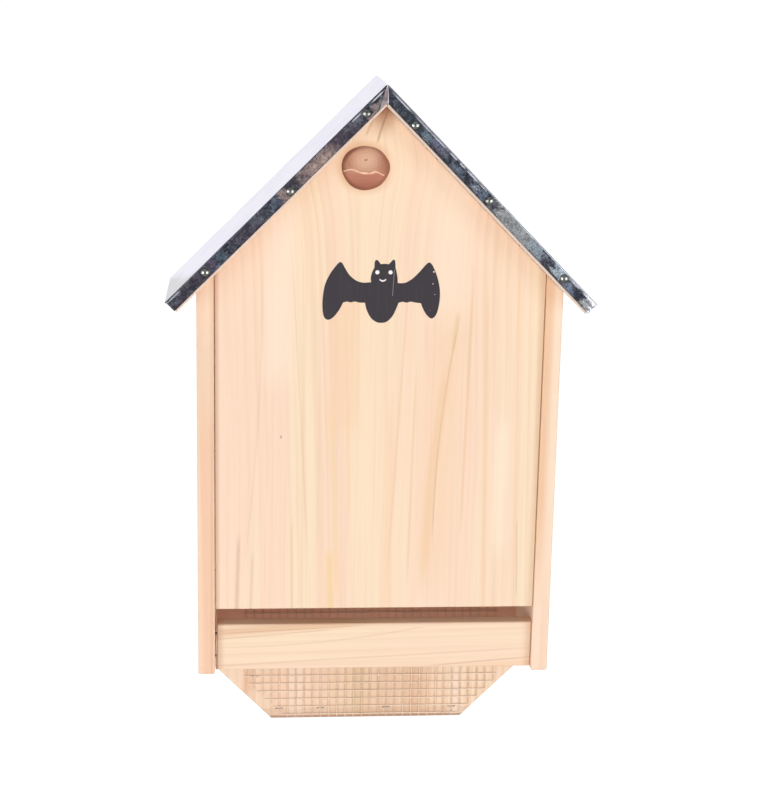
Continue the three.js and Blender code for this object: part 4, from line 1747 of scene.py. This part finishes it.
@dataclass
class ZincRoof:
    """One zinc sheet, bent over the ridge and folded down in front and behind.

    Attributes:
        ridge: Height of the two outer faces' meeting line.
        length: Way down the slope from the ridge to the eave's nose.
        strip_end: Where the folded strips turn round the roof boards.
        front: Y of the front strip's face.
        rear: Y of the rear strip's face.
        thickness: Thickness of the sheet.
        strip_height: Height of the folded strips.
        fold: Outer radius of the folds.
        ridge_bend: Outer radius of the bend at the ridge.
        tab_length: How far the strips run round the ends of the roof boards.
        strip_cut: Depth at which the strips part from the slopes at the eaves.
    """

    ridge: float = 73.432
    length: float = 208.879
    strip_end: float = 208.579
    front: float = -100.0
    rear: float = -2.5
    thickness: float = 0.5
    strip_height: float = 8.8
    fold: float = 0.8
    ridge_bend: float = 2.0
    tab_length: float = 12.0
    strip_cut: float = 1.2

    def rows(self) -> list[tuple[float, float, float]]:
        """Y, depth and way from the nearest fold of each line along the sheet, front to rear."""
        strip = [self.strip_height, 8.4, 7.4, 6.2, 5.0, 3.8, 2.8, 2.0, self.strip_cut]
        arc = [math.radians(a) for a in (0.0, 22.5, 45.0, 67.5, 90.0)]
        half_arc = self.fold * math.pi / 4
        half = [(self.front, d, d - self.fold + half_arc) for d in strip]
        for a in arc:
            y = self.front + self.fold * (1 - math.cos(a))
            half.append((y, self.fold * (1 - math.sin(a)), half_arc - self.fold * a))
        middle = (self.front + self.rear) / 2
        first, count = self.front + self.fold, 8
        step = (middle - first) / count
        flat = [0.8] + [step * i for i in range(1, count + 1)]
        half += [(first + way, 0.0, -half_arc - way) for way in flat]
        mirrored = [(2 * middle - y, depth, out) for y, depth, out in reversed(half[:-1])]
        return half + mirrored

    def stations(self) -> list[float]:
        """Ways down the slope at which the sheet has a line of points."""
        near = [0.0, 0.5, 1.0, 1.5, 2.0, 3.0, 4.5, 6.5, 9.0, 12.0, 16.0, 20.0]
        count = 62
        span = self.strip_end - self.strip_cut - near[-1]
        return near + [near[-1] + span * i / count for i in range(1, count + 1)]

    def add_point(
        self, stock: MeshStock, side: int, down: float, depth: float, y: float, out: float,
    ) -> int:
        """Adds one point: rounded over the ridge, with the hand-folded sheet's waves and dents.

        Args:
            stock: Where it goes.
            side: -1 on the left and 1 on the right.
            down: Way down the slope from the ridge.
            depth: How far below the sheet's outer face.
            y: Place from front to rear.
            out: Way from the nearest fold.

        Returns:
            Its number.
        """
        x = (down - depth) * SLOPE_COS
        z = self.ridge - (down + depth) * SLOPE_COS
        radius = self.ridge_bend - depth
        if radius > 0 and x < radius * SLOPE_COS:
            z = self.ridge - self.ridge_bend / SLOPE_COS + math.sqrt(radius * radius - x * x)

        spot = Vector((side * down * 0.045, y * 0.05, 3.0 + side))
        facing = -1 if y < (self.front + self.rear) / 2 else 1
        strip = facing * 0.45 * noise.noise(spot) * smooth_share(self.fold, self.strip_height, depth)
        top = 0.18 * abs(noise.noise(spot * 1.7)) * (1 - smooth_share(0.0, 0.4, depth))
        top *= smooth_share(0.0, 12.0, down)
        move = Vector((0.0, strip, 0.0)) + Vector((side * SLOPE_COS, 0.0, SLOPE_COS)) * top
        if side > 0 and facing < 0 and depth > 0.4:
            crush = smooth_share(190.0, 206.0, down) * smooth_share(0.4, 3.0, depth)
            place = Vector((down, y, depth)) * 0.42
            dent = Vector([noise.noise(place + Vector((shift, 0.0, 0.0))) for shift in (0.0, 17.3, 31.7)])
            move += Vector((dent.x * 0.5, -abs(dent.y) * 1.3, dent.z * 0.5)) * crush
        return stock.add(Vector((side * x, y, z)) + move, (side * down, out))

    def add_side(self, stock: MeshStock, side: int) -> None:
        """Adds one slope with its strips and tabs.

        Args:
            stock: Where the points go.
            side: -1 on the left and 1 on the right.
        """
        stations = self.stations()
        cut = self.strip_cut - 0.01
        grid = []
        for y, depth, out in self.rows():
            ways = [station + depth * (1 - smooth_share(2.0, 20.0, station)) for station in stations]
            if depth < cut:
                ways += [self.strip_end, self.length]
            row = [self.add_point(stock, side, down, depth, y, out) for down in ways]
            grid.append((y, depth, out, row))
        shared = len(stations)
        stock.add_grid([row[:shared] for _, _, _, row in grid])
        stock.add_grid([row[shared - 1:] for _, depth, _, row in grid if depth < cut])
        middle = (self.front + self.rear) / 2
        for facing in (-1, 1):
            strip = [line for line in grid if line[1] > cut and (line[0] - middle) * facing > 0]
            self.add_tab(stock, side, facing, strip)

    def add_tab(self, stock: MeshStock, side: int, facing: int, strip: list) -> None:
        """Turns the end of a strip round the end of the roof board.

        Args:
            stock: Where the points go.
            side: -1 on the left and 1 on the right.
            facing: -1 in front and 1 behind.
            strip: The lines of the strip, each with its row of points.
        """
        start = self.stations()[-1]
        radius = self.strip_end - start
        face = self.front if facing < 0 else self.rear
        turns = [(start + radius * math.sin(a), face - facing * radius * (1 - math.cos(a)))
                 for a in (math.radians(step) for step in (22.5, 45.0, 67.5, 90.0))]
        reach = [3.0, 5.0, 7.0, 9.0, 10.6, self.tab_length]
        turns += [(self.strip_end, face - facing * length) for length in reach]
        shared = len(self.stations()) - 1
        stock.add_grid([
            [row[shared]] + [self.add_point(stock, side, down, depth, y, out) for down, y in turns]
            for _, depth, out, row in strip
        ])

    def add_lap(self, stock: MeshStock) -> None:
        """The end of the left strip, folded over the start of the right one.

        Args:
            stock: Where the points go.
        """
        rows = []
        columns, lines = 14, 14
        top, bottom = 1.0, 12.3
        for j in range(lines + 1):
            share = j / lines
            drop = top + (bottom - top) * share
            left = -0.4 - 5.4 * share ** 0.8
            right = 0.3 + 0.7 * share - 0.3 * smooth_share(0.86, 1.0, share)
            row = []
            for i in range(columns + 1):
                way = i / columns
                lift = 0.05 + 0.2 * smooth_share(0.0, 1.0, way)
                lift += 0.05 * math.sin(way * 8.0 + share * 4.0) * way * (1 - way)
                x = left + (right - left) * way
                point = (x, self.front - self.thickness - lift, self.ridge - drop - abs(x))
                row.append(stock.add(point, (-8.0 * (1 - way), 4.0), way))
            rows.append(row)
        stock.add_grid(rows)

    def build(self) -> None:
        """Makes the whole sheet."""
        stock = MeshStock()
        for side in (-1, 1):
            self.add_side(stock, side)
        self.add_lap(stock)
        mesh = WORKSHOP.tidy_mesh(stock.mesh("zinc_roof", "sheet", "lap"), merge=0.01)
        self.face_up(mesh)
        carrier = WORKSHOP.place("zinc_roof", mesh)
        wall = carrier.modifiers.new("wall", "SOLIDIFY")
        wall.thickness = self.thickness * MM
        wall.offset = -1.0
        wall.use_even_offset = True
        piece = WORKSHOP.flatten(carrier)
        WORKSHOP.tidy_mesh(piece.data)
        WORKSHOP.finish(piece, ZincFinish(), "zinc_sheet", ["zinc_roof_sheet"])

    @staticmethod
    def face_up(mesh: Mesh) -> None:
        """Turns each loose part of the open sheet so that it faces up or to the front."""
        shape = bmesh.new()
        shape.from_mesh(mesh)
        left = set(shape.faces)
        while left:
            part, edge = set(), [left.pop()]
            while edge:
                face = edge.pop()
                part.add(face)
                near = {other for line in face.edges for other in line.link_faces}
                edge += [other for other in near if other in left]
                left -= near
            outward = sum(face.normal.dot(Vector((0, -0.3, 1))) * face.calc_area() for face in part)
            if outward < 0:
                bmesh.ops.reverse_faces(shape, faces=list(part))
        shape.to_mesh(mesh)
        shape.free()


@dataclass
class ClimbingNet:
    """The welded net on the back board and its staples.

    Attributes:
        wire: Diameter of a wire.
        pitch: Distance between two wires.
        last: Number of the last upright and the last level wire.
        left: X of the first upright wire.
        bottom: Z of the first level wire.
        stub: How far the wires run past the outermost crossings.
        rear_layer: Y of the upright wires' axis.
        front_layer: Y of the level wires' axis.
        base: Height of the side boards' lower ends.
        left_cut: The net's slanted left corner, as a sum of x and height above the base.
        right_cut: Its right corner, as a difference of them.
    """

    wire: float = 0.7
    pitch: float = NET_PITCH
    last: int = NET_LAST
    left: float = NET_LEFT
    bottom: float = -412.4
    stub: float = 2.0
    rear_layer: float = -12.55
    front_layer: float = -13.13
    base: float = -350.0
    left_cut: float = -127.686
    right_cut: float = 134.757

    def wires(self) -> tuple[list[tuple[Point3, Point3]], list[tuple[Point3, Point3]]]:
        """Ends of the upright and of the level wires."""
        uprights, levels = [], []
        right = self.left + self.pitch * self.last
        top = self.bottom + self.pitch * self.last + self.stub
        for i in range(self.last + 1):
            x = self.left + self.pitch * i
            lowest = self.base + max(self.left_cut - x, x - self.right_cut)
            low = max(self.bottom - self.stub, lowest)
            uprights.append(((x, self.rear_layer, low), (x, self.rear_layer, top)))
        for j in range(self.last + 1):
            z = self.bottom + self.pitch * j
            height = z - self.base
            start = max(self.left - self.stub, self.left_cut - height)
            end = min(right + self.stub, self.right_cut + height)
            levels.append(((start, self.front_layer, z), (end, self.front_layer, z)))
        return uprights, levels

    def build(self) -> None:
        """Makes the net."""
        uprights, levels = self.wires()
        ends = [point for pair in uprights + levels for point in pair]
        base = bpy.data.meshes.new("net_lines")
        edges = [(2 * i, 2 * i + 1) for i in range(len(ends) // 2)]
        base.from_pydata([Vector(point) * MM for point in ends], edges, [])
        finish = WireFinish("dull_galvanised_wire", (222, 190, 164), (200, 168, 144), 0.6, 700.0, 0.05)
        piece = wire_tree().run("climbing_net", base, {
            "Wire Radius": self.wire / 2 * MM,
            "Step": self.pitch / 2 * MM,
            "Wave": 0.45 * MM,
            "Sides": 8,
            "Seed": 3.0,
            "Finish": finish.material(),
        })
        WORKSHOP.tidy_mesh(piece.data)
        WORKSHOP.finish(piece, slot="mesh_steel", nodes=["climbing_mesh"])

    @staticmethod
    def staple_mesh() -> Mesh:
        """One staple of flattened wire, its crown at the origin and its legs along Y."""
        half, leg, bend, half_wide, half_high = 2.15, 8.2, 0.75, 0.42, 0.45
        path = [Vector((-half, leg, 0.0)), Vector((-half, bend, 0.0))]
        for step in range(1, 5):
            angle = math.radians(90 * step / 5)
            path.append(Vector((-half + bend * (1 - math.cos(angle)), bend * (1 - math.sin(angle)), 0.0)))
        path.append(Vector((-half + bend, 0.0, 0.0)))
        path += [Vector((-p.x, p.y, 0.0)) for p in reversed(path)]
        stock = MeshStock()
        rows = []
        last, sides = len(path) - 1, 8
        for i, point in enumerate(path):
            way = (path[min(i + 1, last)] - path[max(i - 1, 0)]).normalized()
            out = Vector((way.y, -way.x, 0.0))
            taper = 0.35 if i in (0, last) else 1.0
            row = []
            for k in range(sides):
                angle = (k + 0.5) * math.tau / sides
                across = out * half_wide * math.cos(angle) * taper
                rise = Vector((0.0, 0.0, half_high * math.sin(angle) * taper))
                row.append(stock.add(point + across + rise))
            rows.append(row)
        stock.add_grid(rows, closed=True)
        stock.faces += [tuple(rows[0]), tuple(rows[-1])]
        return WORKSHOP.tidy_mesh(stock.mesh("staple"))

    def add_staples(self, scatter: Scatter) -> None:
        """Sets the staples where the net is held."""
        names = named("mesh_staple")
        spots = []
        for i, name in enumerate(names):
            low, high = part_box(name)
            centre = (low + high) / 2
            at = (centre.x / MM, low.y / MM + 0.45, centre.z / MM)
            spots.append(Spot(at, (0.0, math.radians(1.6 * math.sin(2.1 * i)), 0.0)))
        finish = SteelFinish("staple_wire", (232, 216, 200), (200, 184, 168), 0.55, 900.0, 0.05)
        piece = scatter.run("net_staples", self.staple_mesh(), spots, finish.material())
        WORKSHOP.finish(piece, slot="mesh_steel", nodes=names)


@dataclass
class Nailing:
    """All nails: domes in the zinc, flat heads in the wood.

    Attributes:
        scatter: Sets the copies.
        dome_sides: Faces round a dome-headed nail.
        dome_radius: Radius of its head.
        dome_height: How far its head stands out of the zinc.
        flat_sides: Faces round a flat-headed nail.
        flat_length: Length of a flat-headed nail.
    """

    scatter: Scatter
    dome_sides: int = 28
    dome_radius: float = 3.0
    dome_height: float = 1.9
    flat_sides: int = 20
    flat_length: float = 32.0

    def dome(self) -> Mesh:
        """A dome-headed nail: the head's seat at the origin, the point along +Y."""
        radius, height = self.dome_radius, self.dome_height
        bow = (radius * radius + height * height) / (2 * height)
        spread = math.asin(radius / bow)
        profile = [(0.0, -height)]
        for step in range(1, 9):
            angle = spread * step / 8
            profile.append((bow * math.sin(angle), -height + bow * (1 - math.cos(angle))))
        profile += [(radius, 0.14), (radius - 0.3, 0.2), (1.1, 0.2), (1.05, 0.6), (1.05, 15.0), (0.0, 18.0)]
        return WORKSHOP.tidy_mesh(lathe(profile, self.dome_sides).mesh("dome_nail"))

    def flat(self) -> Mesh:
        """A flat-headed nail with a slightly crowned head flush with the origin."""
        length = self.flat_length
        profile = [
            (0.0, 0.0), (0.7, 0.02), (1.4, 0.04), (1.85, 0.08), (2.1, 0.3), (2.1, 0.75),
            (1.7, 1.0), (0.9, 1.1), (0.85, 2.0), (0.85, length - 3.0), (0.0, length),
        ]
        return WORKSHOP.tidy_mesh(lathe(profile, self.flat_sides).mesh("flat_nail"))

    def seats(self, names: Sequence[str], facing: Point3) -> list[Spot]:
        """Places of nails whose heads face one way.

        Args:
            names: Their nodes.
            facing: The way their heads face.

        Returns:
            The places, each at the outermost point of the node.
        """
        out = Vector(facing)
        turn = Vector((0.0, -1.0, 0.0)).rotation_difference(out).to_euler()
        spots = []
        for name in names:
            low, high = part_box(name)
            centre = (low + high) / 2
            reach = abs((high - low).dot(out)) / 2
            at = (centre + out * reach) / MM
            spots.append(Spot(tuple(at), tuple(turn)))
        return spots

    def add_domes(self) -> None:
        """Sets the dome heads in front and behind."""
        finish = SteelFinish("bright_nail", (108, 110, 106), (68, 68, 64), 0.17).material()
        for label, facing in (("front", -1.0), ("rear", 1.0)):
            names = named(f"roof_nail_{label}")
            spots = [
                Spot((spot.at[0], spot.at[1] - facing * self.dome_height, spot.at[2]), spot.turn)
                for spot in self.seats(names, (0.0, facing, 0.0))
            ]
            piece = self.scatter.run(f"roof_nails_{label}", self.dome(), spots, finish, 0.03, 5)
            WORKSHOP.finish(piece, slot="nail_steel", nodes=names)

    def add_flat(self) -> None:
        """Sets the flat heads of the sides, the back and under the zinc."""
        finish = SteelFinish("wood_nail", (118, 114, 112), (84, 78, 76), 0.5, 900.0, 0.6).material()
        groups = (
            ("left_nails", ("panel_nail_left", "rail_nail_left"), (-1.0, 0.0, 0.0)),
            ("right_nails", ("panel_nail_right", "rail_nail_right"), (1.0, 0.0, 0.0)),
            ("back_nails", ("back_nail",), (0.0, 1.0, 0.0)),
        )
        for piece_name, starts, facing in groups:
            names = [name for start in starts for name in named(start)]
            piece = self.scatter.run(piece_name, self.flat(), self.seats(names, facing), finish)
            WORKSHOP.finish(piece, slot="nail_steel", nodes=names)
        for name in named("roof_board_nail"):
            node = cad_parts[name]
            node.data.materials.clear()
            node.data.materials.append(finish)


class Reach(Enum):
    """What a lamp acts on."""

    MATT = "matt surfaces"
    GLOSS = "gleams on metal"


@dataclass(frozen=True)
class Lamp:
    """A square soft lamp that looks at the object.

    Attributes:
        name: Its name.
        place: Its place, in metres.
        size: Its side, in metres.
        power: Its power, in watts.
        reach: What it acts on.
    """

    name: str
    place: Point3
    size: float
    power: float
    reach: Reach

    def add(self, target: Point3) -> None:
        """Puts the lamp into the scene, turned to a target."""
        data = bpy.data.lights.new(self.name, "AREA")
        data.shape = "SQUARE"
        data.size = self.size
        data.energy = self.power
        lamp = bpy.data.objects.new(self.name, data)
        lamp.location = self.place
        way = Vector(target) - Vector(self.place)
        lamp.rotation_euler = way.to_track_quat("-Z", "Y").to_euler()
        lamp.visible_camera = False
        lamp.visible_diffuse = self.reach is Reach.MATT
        lamp.visible_glossy = self.reach is Reach.GLOSS
        bpy.context.scene.collection.objects.link(lamp)


@dataclass
class Studio:
    """Camera, lamps, world and floor.

    Attributes:
        eye: The camera's place.
        yaw: Its turn towards +X, in degrees.
        pitch: Its tilt down.
        roll: Its roll, which turns the picture clockwise.
        focal: Focal length in pixels of the picture.
        picture_height: Height of the picture in pixels.
        sensor: Width of the camera's sensor in millimetres, which spans that height.
        floor_height: Height of the floor, in metres.
        floor_size: Its side, in metres.
        daylight: The world's level for diffuse light.
        glow: The floor's own light, which keeps the background white.
        lamps: The soft lamps.
        target: The point that they look at, in metres.
    """

    eye: Point3 = (-0.0959, -1.2813, 0.1505)
    yaw: float = 4.944
    pitch: float = 13.839
    roll: float = 1.221
    focal: float = 1771.2
    picture_height: int = 800
    sensor: float = 36.0
    floor_height: float = -1.3
    floor_size: float = 240.0
    daylight: float = 0.45
    glow: float = 0.68
    lamps: tuple[Lamp, ...] = (
        Lamp("front_softbox", (-0.3, -2.6, -0.04), 1.8, 19.8, Reach.MATT),
        Lamp("left_softbox", (-2.1, -1.6, -0.4), 1.1, 14.3, Reach.MATT),
        Lamp("right_softbox", (2.1, -1.6, -0.35), 1.1, 17.4, Reach.MATT),
        Lamp("left_gleam", (-2.2, -1.7, -0.5), 2.7, 180.0, Reach.GLOSS),
        Lamp("right_gleam", (2.2, -1.7, -0.45), 2.7, 180.0, Reach.GLOSS),
    )
    target: Point3 = (0.0, -0.05, -0.17)

    def add_camera(self) -> None:
        """Sets the camera at the photograph's viewing angle."""
        yaw, pitch, roll = (math.radians(v) for v in (self.yaw, self.pitch, self.roll))
        ahead = Vector((
            math.sin(yaw) * math.cos(pitch), math.cos(yaw) * math.cos(pitch), -math.sin(pitch),
        ))
        right = ahead.cross(Vector((0, 0, 1))).normalized()
        up = right.cross(ahead)
        turned_right = math.cos(roll) * right + math.sin(roll) * up
        turned_up = -math.sin(roll) * right + math.cos(roll) * up
        data = bpy.data.cameras.new("camera")
        data.sensor_width = self.sensor
        data.lens = self.focal * self.sensor / self.picture_height
        data.clip_start, data.clip_end = 0.01, 500.0
        camera = bpy.data.objects.new("camera", data)
        turn = Matrix((turned_right, turned_up, -ahead)).transposed()
        camera.matrix_world = Matrix.Translation(self.eye) @ turn.to_4x4()
        bpy.context.scene.collection.objects.link(camera)
        bpy.context.scene.camera = camera

    @staticmethod
    def plain_rays(shop: NodeShop) -> Sock:
        """1 for the rays that show the background: camera, glossy and transmission."""
        camera = shop.node("ShaderNodeLightPath", output="Is Camera Ray")
        outputs = camera.socket.node.outputs
        glossy = Sock(shop, outputs["Is Glossy Ray"])
        through = Sock(shop, outputs["Is Transmission Ray"])
        return camera.most(glossy).most(through)

    def set_world(self) -> None:
        """Gives the world its plain daylight and a white background."""
        world = bpy.data.worlds.new("studio")
        shop = empty_tree(world)
        strength = self.plain_rays(shop) * (1.0 - self.daylight) + self.daylight
        inputs = {"Color": (1.0, 1.0, 1.0, 1.0), "Strength": strength}
        light = shop.node("ShaderNodeBackground", inputs=inputs)
        shop.node("ShaderNodeOutputWorld", inputs={"Surface": light})
        bpy.context.scene.world = world

    def add_floor(self) -> None:
        """Lays the pale floor."""
        material = bpy.data.materials.new("pale_floor")
        shop = empty_tree(material)
        matt = shop.node("ShaderNodeBsdfDiffuse", inputs={"Color": (0.8, 0.8, 0.8, 1.0)})
        glow = shop.node("ShaderNodeEmission", inputs={"Strength": self.plain_rays(shop) * self.glow})
        both = shop.node("ShaderNodeAddShader", inputs={0: matt, 1: glow})
        shop.node("ShaderNodeOutputMaterial", inputs={"Surface": both})
        half = self.floor_size / 2
        corners = [(-half, -half), (half, -half), (half, half), (-half, half)]
        mesh = bpy.data.meshes.new("floor")
        mesh.from_pydata([(x, y, self.floor_height) for x, y in corners], [], [(0, 1, 2, 3)])
        mesh.materials.append(material)
        floor = WORKSHOP.place("floor", mesh)

    def build(self) -> None:
        """Sets up the whole studio."""
        bpy.context.scene.view_settings.view_transform = "Standard"
        self.add_camera()
        for lamp in self.lamps:
            lamp.add(self.target)
        self.set_world()
        self.add_floor()


def main() -> None:
    """Builds the studio and the sub-assemblies in order."""
    logging.basicConfig(level=logging.INFO, format="%(name)s: %(message)s")
    Studio().build()
    body = Body()
    body.dress()
    body.add_knot()
    body.add_crack()
    BatFigure().build()
    ZincRoof().build()
    scatter = Scatter(scatter_tree())
    net = ClimbingNet()
    net.build()
    net.add_staples(scatter)
    nailing = Nailing(scatter)
    nailing.add_domes()
    nailing.add_flat()


if __name__ == "__main__":
    main()
